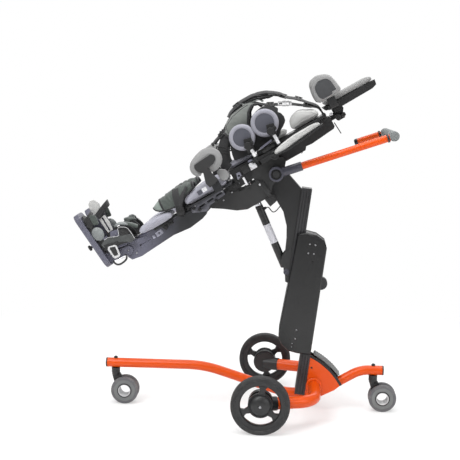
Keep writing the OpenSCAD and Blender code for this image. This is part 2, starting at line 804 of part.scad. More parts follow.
module tilt_rod() {
    low = cylinder_len - rod_in_len;
    color("silver") at_actuator() difference() {
        union() {
            translate([0, 0, low]) cylinder(h = actuator_len - low, r = rod_r, $fn = round_fn);
            bar(0, actuator_len, tilt_eye_r, -tilt_eye_half, tilt_eye_half);
        }
        bar(0, actuator_len, stub_r, -tilt_eye_half - over, tilt_eye_half + over);
    }
}

// Push handle, built at the left side around the pivot
module handle_sleeve() {
    bore = shaft_r + fit_gap;
    inner = plate_y + plate_half + web_t;
    color("dimgray") at_handle() difference() {
        union() {
            bar(0, 0, ring_in_r, -handle_y, -inner);
            bar(0, 0, ring_r, -handle_y - ring_half_w, -handle_y + ring_half_w);
            translate([0, -handle_y, 0]) rotate([0, 90, 0])
                cylinder(h = sleeve_len, r = sleeve_r, $fn = round_fn);
        }
        bar(0, 0, bore, -handle_y - ring_half_w - over, -inner + over);
        bar(0, 0, ring_in_r, -handle_y - ring_half_w - over, -handle_y - ring_half_w + ring_recess);
        translate([ring_r + over, -handle_y, 0]) rotate([0, 90, 0])
            cylinder(h = sleeve_len, r = handle_r + fit_gap, $fn = round_fn);
    }
}

module handle_tube() {
    tube_end = handle_len - grip_r - plate_step;
    color("orangered") at_handle() {
        translate([ring_r + 2 * over, -handle_y, 0]) rotate([0, 90, 0])
            cylinder(h = tube_end - ring_r - 2 * over, r = handle_r, $fn = round_fn);
        translate([handle_len - return_len, handle_y, 0]) rotate([0, 90, 0])
            cylinder(h = tube_end - handle_len + return_len, r = handle_r, $fn = round_fn);
        for (y = [-handle_y, handle_y]) translate([tube_end - over, y, 0]) rotate([0, 90, 0])
            cylinder(h = handle_len - tube_end + over, r = core_stub_r, $fn = round_fn);
        bar(handle_len, 0, core_bar_r, -handle_y - core_bar_r, handle_y + core_bar_r);
        translate([handle_len - return_len - cap_t, handle_y, 0]) rotate([0, 90, 0])
            cylinder(h = cap_t + over, r = handle_r - over, $fn = round_fn);
    }
}

module handle_grip() {
    hole = core_bar_r + fit_gap;
    color("darkgray") at_handle() difference() {
        bar(handle_len, 0, grip_r, -handle_y - grip_over, handle_y + grip_over);
        bar(handle_len, 0, hole, -handle_y - core_bar_r - fit_gap, handle_y + core_bar_r + fit_gap);
        for (y = [-handle_y, handle_y]) translate([handle_len - grip_d, y, 0]) rotate([0, 90, 0])
            cylinder(h = grip_d, r = core_stub_r + fit_gap, $fn = round_fn);
    }
}

// Middle wheels: the outline of the tyre as shares of its height and width
tyre_shares = [[0, -0.44], [0.55, -0.5], [0.85, -0.42], [1, -0.22], [1, 0.22], [0.85, 0.42], [0.55, 0.5],
    [0, 0.44]];
module tyre(side) {
    color("dimgray") at_axle() on_side(side) translate([0, -wheel_y, wheel_r]) rotate([90, 0, 0])
        rotate_extrude($fn = round_fn)
        polygon(placed(tyre_shares, [tyre_in_r, 0], [tyre_h, tyre_w]));
}
module tyre_l() { tyre(0); }
module tyre_r() { tyre(1); }

// The rim: ring, three spokes, hub and an outer dome over the axle's end
rim_turn = 83;
module rim(side) {
    dome_top = hub_half + dome_h;
    color("dimgray") at_axle() on_side(side)
        translate([0, -wheel_y, wheel_r]) rotate([90, 0, 0]) difference() {
        union() {
            rotate_extrude($fn = round_fn) polygon([[rim_hole_r, -rim_half], [tyre_in_r - fit_gap, -rim_half],
                [tyre_in_r - fit_gap, rim_half], [rim_hole_r, rim_half]]);
            rotate_extrude($fn = round_fn) polygon([[0, -hub_half + over], [hub_r, -hub_half + over],
                [hub_r, hub_half - over], [hub_r * 0.86, hub_half + dome_h * 0.5],
                [hub_r * 0.5, hub_half + dome_h * 0.9], [0, dome_top]]);
            for (a = [0 : 120 : 240]) rotate([0, 0, a + rim_turn])
                translate([hub_r - rim_half, -spoke_w / 2, -spoke_half])
                cube([rim_hole_r - hub_r + 2 * rim_half - over, spoke_w, 2 * spoke_half]);
        }
        translate([0, 0, -hub_half - over])
            cylinder(h = 2 * hub_half + 2 * over, r = axle_r + fit_gap, $fn = round_fn);
        translate([0, 0, dome_top - over]) cylinder(h = 2 * over, r = screw_r, $fn = round_fn);
    }
}
module rim_l() { rim(0); }
module rim_r() { rim(1); }

// Casters: the fork hangs under the spine and carries a hollow hub tube
module caster_fork(x) {
    top = spine_z - spine_r - move_gap;
    color("dimgray") at_axle() translate([x, 0, 0]) difference() {
        union() {
            translate([0, 0, top - stem_h]) cylinder(h = stem_h, r = stem_r, $fn = round_fn);
            slab(-fork_half, fork_half) polygon([[-stem_r, top - stem_h], [stem_r * 0.9, top - stem_h],
                [trail, caster_r + fork_ring_r], [trail, caster_r - fork_ring_r],
                [trail - fork_ring_r * 0.75, caster_r - fork_ring_r * 0.66], [-stem_r * 0.6, caster_r]]);
            bar(trail, caster_r, fork_ring_r, -fork_half, fork_half);
            bar(trail, caster_r, hub_tube_r, -ring_y - ring_half, ring_y + ring_half);
        }
        bar(trail, caster_r, caster_hole_d / 2, -ring_y - ring_half - over, ring_y + ring_half + over);
    }
}
module caster_fork_front() { caster_fork(-front_reach); }
module caster_fork_rear() { caster_fork(rear_reach); }

ring_shares = [[0, -1], [0.75, -1], [1, -0.6], [1, 0.6], [0.75, 1], [0, 1]];
module caster_wheels(x) {
    inner = hub_tube_r + fit_gap;
    color("gray") at_axle() for (y = [-ring_y, ring_y]) translate([x + trail, y, caster_r]) rotate([90, 0, 0])
        rotate_extrude($fn = round_fn)
        polygon(placed(ring_shares, [inner, 0], [caster_r - inner, ring_half - over]));
}
module caster_wheels_front() { caster_wheels(-front_reach); }
module caster_wheels_rear() { caster_wheels(rear_reach); }

// Side plates of the seat, with the pivot hub, a stop bar and its bumper
module side_plate(side) {
    y = -plate_y;
    color("dimgray") at_body() on_side(side) difference() {
        union() {
            slab(y - plate_half, y + plate_half) polygon(placed(plate_shares, plate_place, plate_size));
            bar(pivot_s, pivot_n, hub_side_r, y - plate_half - web_t + plate_step, y + web_t);
            slab(y - plate_half - web_t, y - plate_half)
                polygon(placed(stop_bar_shares, plate_place, plate_size));
            slab(y - plate_half - web_t, y + plate_half + web_t)
                polygon(placed(stop_block_shares, plate_place, plate_size));
        }
        bar(pivot_s, pivot_n, shaft_r + fit_gap, y - 3 * web_t, y + 3 * web_t);
    }
}
module side_plate_l() { side_plate(0); }
module side_plate_r() { side_plate(1); }

// Seat board, its webs, the cross bar and the two cheeks of the tilt pin
module seat_frame() {
    cheek_y = tilt_eye_half + cheek_gap;
    seat_top = seat_n + board_t;
    color("dimgray") at_body() {
        translate([seat_front, -web_out, seat_n]) cube([seat_back - seat_front, 2 * web_out, board_t]);
        bar(cross_bar_s, cross_bar_n, cross_bar_r, -web_out, web_out);
        for (side = [0, 1]) on_side(side) {
            slab(-web_out, -web_out + web_t) polygon([[seat_front, seat_top], [seat_back, seat_top],
                [seat_back, web_mid_n], [web_back_s, web_back_n], [abduct_s - abduct_boss_r, web_low_n],
                [abduct_s - abduct_boss_r, web_mid_n - board_t], [seat_front, web_mid_n]]);
            translate([abduct_s, -abduct_y, web_low_n])
                cylinder(h = leg_plate_n - move_gap - web_low_n, r = abduct_boss_r, $fn = round_fn);
            translate([abduct_s, -abduct_y, web_low_n])
                cylinder(h = leg_plate_n + leg_plate_t - web_low_n, r = abduct_pin_r, $fn = round_fn);
            slab(-cheek_y - cheek_plate_t, -cheek_y) polygon([
                [tilt_pin[0] - cheek_half, seat_n + over], [tilt_pin[0] + 2 * cheek_half, seat_n + over],
                tilt_pin + [cheek_half, -cheek_half], tilt_pin - [cheek_half, cheek_half]]);
            bar(tilt_pin[0], tilt_pin[1], stub_r, -cheek_y - over, -tilt_eye_half - move_gap);
        }
    }
}

module seat_pad() {
    color("silver") at_body()
        translate([(seat_pad_front + seat_pad_back) / 2, 0, seat_n + board_t + soft_gap])
        cushion(seat_pad_back - seat_pad_front, 2 * web_out - seat_pad_t, seat_pad_t, cushion_edge * 2,
            cushion_edge, plate_half);
}

// Back board: box, board, lugs, rail of the trunk supports, strap bar and arm bar
module back_board() {
    color("black") at_body() difference() {
        union() {
            slab(-box_half, box_half) polygon(placed(box_shares, box_place, box_size));
            slab(-board_half, board_half)
                polygon(placed(back_board_shares, back_board_place, back_board_size));
            for (side = [0, 1]) on_side(side) {
                slab(-web_out, -box_half + over) polygon(placed(ear_shares, ear_place, ear_size));
                translate([rail_s[0], -rail_half_len, rail_n[0]])
                    cube([rail_s[1] - rail_s[0], rail_half_len - box_half + over, rail_n[1] - rail_n[0]]);
            }
            translate([strap_bar_s, -box_half, strap_bar_top - strap_bar_len - over])
                cube([strap_bar_len, 2 * box_half, strap_bar_len + over]);
            bar(arm_hinge_s, arm_hinge_n, arm_bar_r, -arm_y - arm_w / 3, arm_y + arm_w / 3);
        }
        for (y = [-head_guide_y, head_guide_y]) translate([head_guide_s, y, head_guide_n]) rotate([0, 90, 0])
            cylinder(h = box_size[0], r = head_guide_r + fit_gap, $fn = round_fn);
    }
}

// Back cushion: a flat lower part and a wedge behind the shoulders
module back_pad() {
    color("silver") at_body() {
        translate([(low_pad_s[0] + low_pad_s[1]) / 2, 0, low_pad_n + soft_gap])
            cushion(low_pad_s[1] - low_pad_s[0], 2 * wedge_half, low_pad_t, 2 * cushion_edge, cushion_edge,
            2 * plate_half);
        hull() for (p = placed(wedge_shares, wedge_place, wedge_size))
            for (y = [wedge_r - wedge_half, wedge_half - wedge_r])
            translate([p[0], y, p[1]]) sphere(r = wedge_r, $fn = blend_fn);
    }
}

// Arm supports: a padded trough on a hinge
module arm_support(side) {
    trough_n = arm_place[1] + arm_size[1] + arm_trough_d / 2 - arm_trough_drop;
    color("silver") at_body() on_side(side) difference() {
        union() {
            slab(-arm_y - arm_w / 2, -arm_y + arm_w / 2) polygon(placed(arm_pad_shares, arm_place, arm_size));
            bar(arm_hinge_s, arm_hinge_n, arm_hinge_r, -arm_y - arm_w / 6, -arm_y + arm_w / 6);
        }
        bar(arm_hinge_s, arm_hinge_n, arm_bar_r + fit_gap, -arm_y - arm_w, -arm_y + arm_w);
        translate([arm_place[0] + 2 * arm_hinge_r, -arm_y, trough_n]) rotate([0, 90, 0])
            cylinder(h = arm_size[0], d = arm_trough_d, $fn = round_fn);
    }
}
module arm_support_l() { arm_support(0); }
module arm_support_r() { arm_support(1); }

// Hip guides: a mushroom-shaped plate on a spacer, and its cushion
module hip_plate(side) {
    y = -hip_y - hip_t / 2 - soft_gap;
    color("dimgray") at_body() on_side(side) {
        slab(y - hip_plate_t, y) offset(r = hip_round, $fn = blend_fn) offset(delta = -hip_round)
            polygon(placed(hip_shares, hip_place, hip_size));
        bar(hip_bar_s, hip_bar_n, hip_bar_r, y, -upstand_y[1] - plate_step);
    }
}
module hip_plate_l() { hip_plate(0); }
module hip_plate_r() { hip_plate(1); }

module hip_pad(side) {
    color("silver") at_body() on_side(side) translate([hip_s, -hip_y - hip_t / 2, hip_n]) rotate([-90, 0, 0])
        cushion(hip_len, hip_high, hip_t, hip_high / 2 - over, cushion_edge, plate_half);
}
module hip_pad_l() { hip_pad(0); }
module hip_pad_r() { hip_pad(1); }

// Trunk side supports: two posts and their heads on a sliding foot
module lateral_arms(side) {
    y = -trunk_half - lateral_t - soft_gap;
    foot_n = rail_n[1] + move_gap;
    color("dimgray") at_body() on_side(side) {
        translate([foot_bar_s[0], y - foot_bar_w, foot_n])
            cube([foot_bar_s[1] - foot_bar_s[0], foot_bar_w - over, foot_bar_t]);
        for (i = [0, 1]) {
            s = lateral_s[i] + post_shift;
            top = lateral_n[i] - post_drop;
            translate([s, y - post_in, foot_n + over])
                cylinder(h = top - foot_n - over, r = post_r, $fn = round_fn);
            slab(y - grip_w, y) polygon(placed(grip_shares, [s, top] + grip_place, grip_size));
        }
    }
}
module lateral_arms_l() { lateral_arms(0); }
module lateral_arms_r() { lateral_arms(1); }

module lateral_pads(side) {
    color("silver") at_body() on_side(side) for (i = [0, 1])
        translate([lateral_s[i], -trunk_half - lateral_t, lateral_n[i]]) rotate([-90, 0, 0])
            rotate_extrude($fn = round_fn)
            polygon(placed(lateral_shares, [0, 0], [i == 0 ? lateral_low_r : lateral_high_r, lateral_t]));
}
module lateral_pads_l() { lateral_pads(0); }
module lateral_pads_r() { lateral_pads(1); }

// Head section: board, post block, two guide rods and the ears of the wings
module headrest_plate() {
    rod_low = head_guide_s + 3 * cap_t;
    color("dimgray") at_body() {
        slab(-head_board_half, head_board_half) polygon(placed(head_shares, head_place, head_size));
        slab(-post_half, post_half) polygon(placed(post_shares, post_place, post_size));
        for (y = [-head_guide_y, head_guide_y]) translate([rod_low, y, head_guide_n]) rotate([0, 90, 0])
            cylinder(h = post_place[0] + post_size[0] / 2 - rod_low, r = head_guide_r, $fn = round_fn);
        for (side = [0, 1]) on_side(side) {
            for (s = wing_ear_s) translate([s, -wing_pin_y - wing_knuckle_r, wing_pin_n - wing_knuckle_r])
                cube([wing_ear_t, wing_pin_y + wing_knuckle_r - head_board_half + over, 2 * wing_knuckle_r]);
            translate([wing_ear_s[0] + over, -wing_pin_y, wing_pin_n]) rotate([0, 90, 0])
                cylinder(h = wing_ear_s[1] - wing_ear_s[0], r = wing_pin_r, $fn = round_fn);
        }
    }
}

module headrest_pad() {
    color("silver") at_body() translate([(head_s[0] + head_s[1]) / 2, 0, head_n])
        cushion(head_s[1] - head_s[0], head_w, head_t, 3 * cushion_edge, cushion_edge, plate_half);
}

// Head wings: a cushion on a leaf that turns on the pin
module wing(side) {
    ear_end = wing_ear_s[0] + wing_ear_t + move_gap;
    knuckle = wing_ear_s[1] - ear_end - move_gap;
    color("silver") at_body() on_side(side) {
        translate([wing_s, -wing_y - wing_t, wing_n]) rotate([-90, 0, 0])
            cushion(wing_len, wing_high, wing_t, wing_high / 3, cushion_edge, over);
        difference() {
            union() {
                translate([ear_end, -wing_pin_y, wing_pin_n]) rotate([0, 90, 0])
                    cylinder(h = knuckle, r = wing_knuckle_r, $fn = round_fn);
                translate([ear_end, -wing_y - wing_t / 2 - wing_leaf_t / 2, wing_pin_n])
                    cube([knuckle, wing_leaf_t, wing_n - wing_pin_n]);
            }
            translate([ear_end - over, -wing_pin_y, wing_pin_n]) rotate([0, 90, 0])
                cylinder(h = knuckle + 2 * over, r = wing_pin_r + fit_gap, $fn = round_fn);
        }
    }
}
module wing_l() { wing(0); }
module wing_r() { wing(1); }

// Leg section: thigh plate, slotted bracket, knee shell, rail and ankle knuckle
module leg_rail(side) {
    y = -leg_y;
    color("slategray") at_body() on_side(side) difference() {
        union() {
            slab(y - rail_half, y + rail_half) polygon(placed(rail_shares, rail_place, rail_size));
            slab(y - rail_half, y + bracket_in) polygon(placed(bracket_shares, bracket_place, bracket_size));
            translate([leg_plate_s[0], -leg_plate_y[1], leg_plate_n])
                cube([leg_plate_s[1] - leg_plate_s[0], leg_plate_y[1] - leg_plate_y[0], leg_plate_t]);
            translate([upstand_s[0], -upstand_y[1], leg_plate_n])
                cube([upstand_s[1] - upstand_s[0], upstand_y[1] - leg_plate_y[1] + over, leg_plate_t]);
            translate([upstand_s[0], -upstand_y[1], leg_plate_n])
                cube([upstand_s[1] - upstand_s[0], upstand_y[1] - upstand_y[0], upstand_top - leg_plate_n]);
            bar(knee_bar_s, knee_bar_n, knee_bar_r, y - knee_wide / 2, y + knee_wide / 2);
            bar(ankle_s, ankle_n, ankle_r, y - rail_half, y + rail_half);
            bar(ankle_s, ankle_n, ankle_pin_r, y - rail_half - ear_t, y + rail_half + ear_t);
        }
        translate([abduct_s, -abduct_y, leg_plate_n - over])
            cylinder(h = leg_plate_t + 2 * over, r = abduct_pin_r + fit_gap, $fn = round_fn);
        slab(y - rail_half - over, y + rail_half + over)
            polygon(placed(rail_slot_shares, rail_place, rail_size));
        for (p = placed(bracket_slot_shares, bracket_place, bracket_size))
            slab(y - rail_half - over, y + bracket_in + over) {
                for (k = [0, bracket_slot_len]) translate([p[0] + k, p[1]])
                    circle(r = bracket_slot_r, $fn = blend_fn);
                translate([p[0], p[1] - bracket_slot_r + fit_gap])
                    square([bracket_slot_len, 2 * (bracket_slot_r - fit_gap)]);
            }
    }
}
module leg_rail_l() { leg_rail(0); }
module leg_rail_r() { leg_rail(1); }

module thigh_pad(side) {
    color("silver") at_body() on_side(side)
        translate([(thigh_s[0] + thigh_s[1]) / 2, -thigh_in - thigh_w / 2, thigh_n])
        cushion(thigh_s[1] - thigh_s[0], thigh_w, thigh_t, 2.5 * cushion_edge, cushion_edge,
        plate_half + over);
}
module thigh_pad_l() { thigh_pad(0); }
module thigh_pad_r() { thigh_pad(1); }

module calf_pad(side) {
    color("silver") at_body() on_side(side)
        translate([(calf_s[0] + calf_s[1]) / 2, -leg_y, calf_n + soft_gap])
        cushion(calf_s[1] - calf_s[0], calf_w, calf_t, 3 * cushion_edge, cushion_edge, plate_half);
}
module calf_pad_l() { calf_pad(0); }
module calf_pad_r() { calf_pad(1); }

// Knee cup: a cloth shell over the knee and a strap down each side
module knee_cup(side) {
    color("dimgray") at_body() on_side(side) translate([0, -leg_y, 0]) {
        difference() {
            translate([knee_s, 0, knee_n]) resize([knee_len, knee_wide, knee_high])
                sphere(r = knee_high, $fn = blend_fn);
            translate([knee_s, 0, knee_n])
                resize([knee_len, knee_wide, knee_high] - 2 * knee_wall * [1, 1, 1])
                sphere(r = knee_high, $fn = blend_fn);
            translate([knee_s - knee_len, -knee_wide, 0]) cube([2 * knee_len, 2 * knee_wide, knee_rim_n]);
            translate([knee_back_s, -knee_wide, 0]) cube([knee_len, 2 * knee_wide, knee_back_n]);
        }
        for (side_y = [-knee_wide / 2, knee_wide / 2 - knee_strap_t])
            translate([knee_bar_s - knee_strap_w / 2, side_y, knee_bar_n + knee_bar_r + soft_gap])
            cube([knee_strap_w, knee_strap_t, knee_rim_n - knee_bar_n]);
    }
}
module knee_cup_l() { knee_cup(0); }
module knee_cup_r() { knee_cup(1); }

// Foot plate with the two ears of the ankle hinge
ankle_m = let (c = cos(foot_lean), f = sin(foot_lean), ds = ankle_s - foot_s, dn = ankle_n - foot_n)
    [ds * c + dn * f, dn * c - ds * f];
module foot_plate(side) {
    ear_mid = rail_half + ear_t / 2 + move_gap;
    color("slategray") at_foot(side) difference() {
        union() {
            rotate([0, -90, 0]) translate([foot_len / 2, 0, 0]) linear_extrude(foot_t)
                offset(r = foot_corner, $fn = blend_fn)
                square([foot_len - 2 * foot_corner, foot_w - 2 * foot_corner], center = true);
            for (y = [-ear_mid, ear_mid]) {
                slab(y - ear_t / 2, y + ear_t / 2) polygon([[-over, ear_from], ankle_m - [0, ear_r],
                    ankle_m + [0, ear_r], [-over, ear_to]]);
                bar(ankle_m[0], ankle_m[1], ear_r, y - ear_t / 2, y + ear_t / 2);
            }
        }
        bar(ankle_m[0], ankle_m[1], ankle_pin_r + fit_gap, -foot_w, foot_w);
    }
}
module foot_plate_l() { foot_plate(0); }
module foot_plate_r() { foot_plate(1); }

// Sandal: sole, heel wall, low sides and a rounded toe cap
module sandal(side) {
    half = sandal_w / 2;
    toe_z = sandal_start + toe_len;
    color("dimgray") at_foot(side) difference() {
        union() {
            translate([soft_gap, -half, sandal_start]) cube([sole_t, sandal_w, sandal_len]);
            translate([soft_gap, -half, sandal_start]) cube([heel_h, sandal_w, sandal_wall]);
            for (y = [-half, half - sandal_wall]) translate([soft_gap, y, sandal_start])
                cube([side_h, sandal_wall, toe_len]);
            translate([sole_t / 2, 0, toe_z]) resize([2 * toe_h, sandal_w, toe_len])
                sphere(r = half, $fn = blend_fn);
        }
        translate([sole_t / 2, 0, toe_z - sandal_wall])
            resize([2 * (toe_h - sandal_wall), sandal_w - 2 * sandal_wall, toe_len])
            sphere(r = half, $fn = blend_fn);
        translate([soft_gap + sole_t, sandal_wall - half, sandal_start + sandal_wall])
            cube([2 * toe_h, sandal_w - 2 * sandal_wall, toe_len - 4 * sandal_wall]);
        translate([soft_gap - 2 * toe_h, -sandal_w, 0]) cube([2 * toe_h, 2 * sandal_w, 2 * sandal_len]);
    }
    color("dimgray") at_foot(side) translate([soft_gap, -half, sandal_start])
        cube([sole_t, sandal_w, sandal_len]);
}
module sandal_l() { sandal(0); }
module sandal_r() { sandal(1); }

// Chest harness: an arched vest, its side tabs and its shoulder straps
module vest_section(inset) {
    r = vest_corner - inset;
    h = vest_size[1] + vest_place[1] - inset;
    w = vest_half - inset;
    polygon(concat([[-w, 0]], [for (a = [180 : -15 : 90]) [r - w + r * cos(a), h - r + r * sin(a)]],
        [for (a = [90 : -15 : 0]) [w - r + r * cos(a), h - r + r * sin(a)]], [[w, 0]]));
}
module vest_block(inset, l) {
    rotate([90, 0, 90]) translate([0, 0, -l]) linear_extrude(2 * l) vest_section(inset);
}
module harness() {
    side = vest_half + vest_size[1];
    color("darkseagreen") at_body() {
        difference() {
            intersection() {
                slab(-vest_half, vest_half) polygon(placed(vest_shares, vest_place, vest_size));
                vest_block(0, side + vest_size[0]);
            }
            intersection() {
                slab(-vest_half, vest_half) polygon(placed(vest_shares, vest_place - [0, vest_t], vest_size));
                vest_block(vest_t, side + vest_size[0]);
            }
            intersection() {
                translate([-2 * vest_size[0], -vest_half, 0])
                    cube([4 * vest_size[0], 2 * vest_half, vest_mouth_n]);
                vest_block(vest_t, side + vest_size[0]);
            }
        }
        for (y = [-vest_half + vest_t - side_tab_t - over, vest_half - vest_t + over])
            translate([side_tab_s[0], y, low_pad_n])
            cube([side_tab_s[1] - side_tab_s[0], side_tab_t, 2 * vest_t + vest_place[1] - low_pad_n]);
        for (y = [-strap_y, strap_y]) slab(y - strap_w / 2, y + strap_w / 2) {
            polygon(band(placed(top_strap_shares, strap_place, strap_size), strap_t));
            polygon(band(placed(low_strap_shares, strap_place, strap_size), strap_t));
        }
    }
}

// Two cables: actuator to arm, and handle hub to arm
cable_low = rounded_path([[-2, 0, 730.5], [8, 0, 735], [26, 0, 706], [53, 0, 742]], [8, 14]);
cable_high = rounded_path([[59, 0, 856], [74, 0, 850], [86, 0, 812]], [10]);
module cables() {
    color("black") at_axle() {
        tube_along(cable_low, cable_r, 8, [0, 1, 0]);
        tube_along(cable_high, cable_r, 8, [0, 1, 0]);
    }
}

base_spine();
spine_caps();
leg_l();
leg_r();
hub_l();
hub_r();
fairing();
pedal_trim();
mast();
housing();
foot_pedal();
column();
carriage_arm();
tilt_cylinder();
tilt_rod();
handle_sleeve();
handle_tube();
handle_grip();
tyre_l();
tyre_r();
rim_l();
rim_r();
caster_fork_front();
caster_fork_rear();
caster_wheels_front();
caster_wheels_rear();
side_plate_l();
side_plate_r();
seat_frame();
seat_pad();
back_board();
back_pad();
arm_support_l();
arm_support_r();
hip_plate_l();
hip_plate_r();
hip_pad_l();
hip_pad_r();
lateral_arms_l();
lateral_arms_r();
lateral_pads_l();
lateral_pads_r();
headrest_plate();
headrest_pad();
wing_l();
wing_r();
leg_rail_l();
leg_rail_r();
thigh_pad_l();
thigh_pad_r();
calf_pad_l();
calf_pad_r();
knee_cup_l();
knee_cup_r();
foot_plate_l();
foot_plate_r();
sandal_l();
sandal_r();
harness();
cables();
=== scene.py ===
# %% [markdown]
# # A child's standing frame
# A wheeled base of orange-red tube, a leaning lift mast and a long tilting body support with
# cushions, cuffs and a chest vest. The solid model gives every hard part its true size, and this
# file dresses it: soft edges on hard parts, sewn cushions, webbing, fasteners and finishes.
# All own sizes are in millimetres. A local frame turns them into the scene's metres.

import json
from math import acos, atan2, cos, hypot, pi, radians, sin, tan

import bmesh
import bpy
from mathutils import Matrix, Vector, noise
from mathutils.bvhtree import BVHTree


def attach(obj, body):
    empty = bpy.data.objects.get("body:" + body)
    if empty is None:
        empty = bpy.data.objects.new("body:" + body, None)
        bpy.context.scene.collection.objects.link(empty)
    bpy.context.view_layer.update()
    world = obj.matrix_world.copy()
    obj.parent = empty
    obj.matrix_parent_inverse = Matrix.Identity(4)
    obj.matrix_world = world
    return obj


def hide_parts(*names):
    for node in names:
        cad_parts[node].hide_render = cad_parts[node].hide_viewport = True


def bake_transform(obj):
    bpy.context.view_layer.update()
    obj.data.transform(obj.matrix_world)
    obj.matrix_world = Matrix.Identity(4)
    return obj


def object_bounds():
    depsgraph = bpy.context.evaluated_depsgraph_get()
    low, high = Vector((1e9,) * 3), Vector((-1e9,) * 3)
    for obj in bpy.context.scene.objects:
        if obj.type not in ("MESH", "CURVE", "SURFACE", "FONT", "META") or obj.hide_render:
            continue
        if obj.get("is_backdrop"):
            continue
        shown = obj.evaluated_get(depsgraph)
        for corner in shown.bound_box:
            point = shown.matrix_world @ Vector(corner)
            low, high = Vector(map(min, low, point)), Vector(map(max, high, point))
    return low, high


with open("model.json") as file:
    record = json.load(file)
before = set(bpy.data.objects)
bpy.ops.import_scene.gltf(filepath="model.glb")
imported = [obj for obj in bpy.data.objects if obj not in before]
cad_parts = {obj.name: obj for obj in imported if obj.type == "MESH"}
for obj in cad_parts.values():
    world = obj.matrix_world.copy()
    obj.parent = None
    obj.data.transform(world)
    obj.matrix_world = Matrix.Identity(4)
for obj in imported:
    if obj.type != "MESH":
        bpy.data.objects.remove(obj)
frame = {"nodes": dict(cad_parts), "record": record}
cad_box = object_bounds()
nodes = frame["nodes"]
joints = {j["name"]: j for j in frame["record"]["behaviour"]["joints"]}

# %% [markdown]
# ## Camera
# The picture was taken a little to the left of square on, from about chest height and with a long
# lens. The place and the turn of the camera are real ones, found from the wheels' centres.

# %% Camera
MM = 0.001
IMAGE_PX = 460
SENSOR_MM = 36.0
FOCAL_PX = 1005.0
WHEELS_X = joints["wheel_left_spin"]["pos_m"][0]
CAMERA_AT = Vector((WHEELS_X + 0.0754, -3.5576, 1.1245))
CAMERA_TURN, CAMERA_PITCH, CAMERA_ROLL = (radians(a) for a in (3.27, 7.623, 0.898))

ahead = Vector((-sin(CAMERA_TURN) * cos(CAMERA_PITCH), cos(CAMERA_TURN) * cos(CAMERA_PITCH),
                -sin(CAMERA_PITCH)))
right = Vector((cos(CAMERA_TURN), sin(CAMERA_TURN), 0))
upward = right.cross(ahead)
rolled_right = right * cos(CAMERA_ROLL) + upward * sin(CAMERA_ROLL)
rolled_up = upward * cos(CAMERA_ROLL) - right * sin(CAMERA_ROLL)
camera = bpy.data.objects.new("camera", bpy.data.cameras.new("camera"))
bpy.context.scene.collection.objects.link(camera)
camera.matrix_world = Matrix.Translation(CAMERA_AT) @ Matrix(
    (rolled_right, rolled_up, -ahead)
).transposed().to_4x4()
camera.data.lens = FOCAL_PX / IMAGE_PX * SENSOR_MM
camera.data.sensor_width = SENSOR_MM
bpy.context.scene.camera = camera
print("lens", round(camera.data.lens, 2))

# %% [markdown]
# ## Local frames
# The support leans at its stored angle, the mast leans the other way, and the handle has its own
# rise. A matrix for each lets every piece be drawn level, in millimetres, and then put in place.
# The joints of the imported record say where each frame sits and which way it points.

# %% Local frames
LEG_Y = 95.0
PIVOT_S, PIVOT_N = -8.6, 21.1
FOOT_S, FOOT_N, FOOT_LEAN = -663.0, 18.0, radians(4.7)
HANDLE_RISE = radians(19)
MAST_FOOT_X = 127.0
ACROSS = Vector((0, 1, 0))


def frame_matrix(origin, along):
    """Local x runs along, y across and z square to both; local units are millimetres."""
    square = along.cross(ACROSS)
    m = Matrix((along, ACROSS, square)).transposed() * MM
    return Matrix.Translation(origin) @ m.to_4x4()


def moved(m, x, y, z):
    return m @ Matrix.Translation((x, y, z))


pivot = Vector(joints["body_tilt"]["pos_m"])
body_along = Vector(joints["head_slide"]["axis"])
BODY = moved(frame_matrix(pivot, body_along), -PIVOT_S, 0, -PIVOT_N)
HANDLE = frame_matrix(pivot, Vector((cos(HANDLE_RISE), 0, sin(HANDLE_RISE))))
lift = Vector(joints["mast_lift"]["axis"])
AXLE = frame_matrix(Vector((joints["wheel_left_spin"]["pos_m"][0], 0, 0)), Vector((1, 0, 0)))
MAST = frame_matrix(AXLE @ Vector((MAST_FOOT_X, 0, 0)), Vector((lift.z, 0, -lift.x)))
rod_line = Vector(joints["rod_slide"]["axis"])
ACTUATOR = frame_matrix(
    Vector(joints["actuator_swing"]["pos_m"]), Vector((rod_line.z, 0, -rod_line.x))
)
FOOT = {
    side: BODY @ Matrix.Translation((FOOT_S, side * LEG_Y, FOOT_N))
    @ Matrix.Rotation(-FOOT_LEAN, 4, "Y")
    for side in (-1, 1)
}
SIDE_NAME = {-1: "left", 1: "right"}
CAD_END = {-1: "_l", 1: "_r"}
print("pivot", tuple(round(v, 4) for v in pivot))

# %% [markdown]
# ## Making pieces
# Each piece is a mesh drawn in its local frame. One function puts it in place, turns its faces
# outwards, smooths what is round and keeps sharp what is sharp, gives it a finish, and lets it
# ride on the body that carries it.

# %% Piece maker
SMOOTH_ANGLE = radians(38)


def new_object(name, mesh):
    obj = bpy.data.objects.new(name, mesh)
    bpy.context.scene.collection.objects.link(obj)
    return obj


def as_mesh(bm, name):
    """The mesh of a bmesh, which is freed."""
    mesh = bpy.data.meshes.new(name)
    bm.to_mesh(mesh)
    bm.free()
    return mesh


def join_meshes(parts):
    """One bmesh from several; each comes bare or as a pair with its own matrix."""
    bm = bmesh.new()
    for entry in parts:
        part, matrix = entry if isinstance(entry, tuple) else (entry, None)
        mesh = as_mesh(part, "part")
        if matrix is not None:
            mesh.transform(matrix)
            if matrix.determinant() < 0:
                mesh.flip_normals()
        bm.from_mesh(mesh)
        bpy.data.meshes.remove(mesh)
    return bm


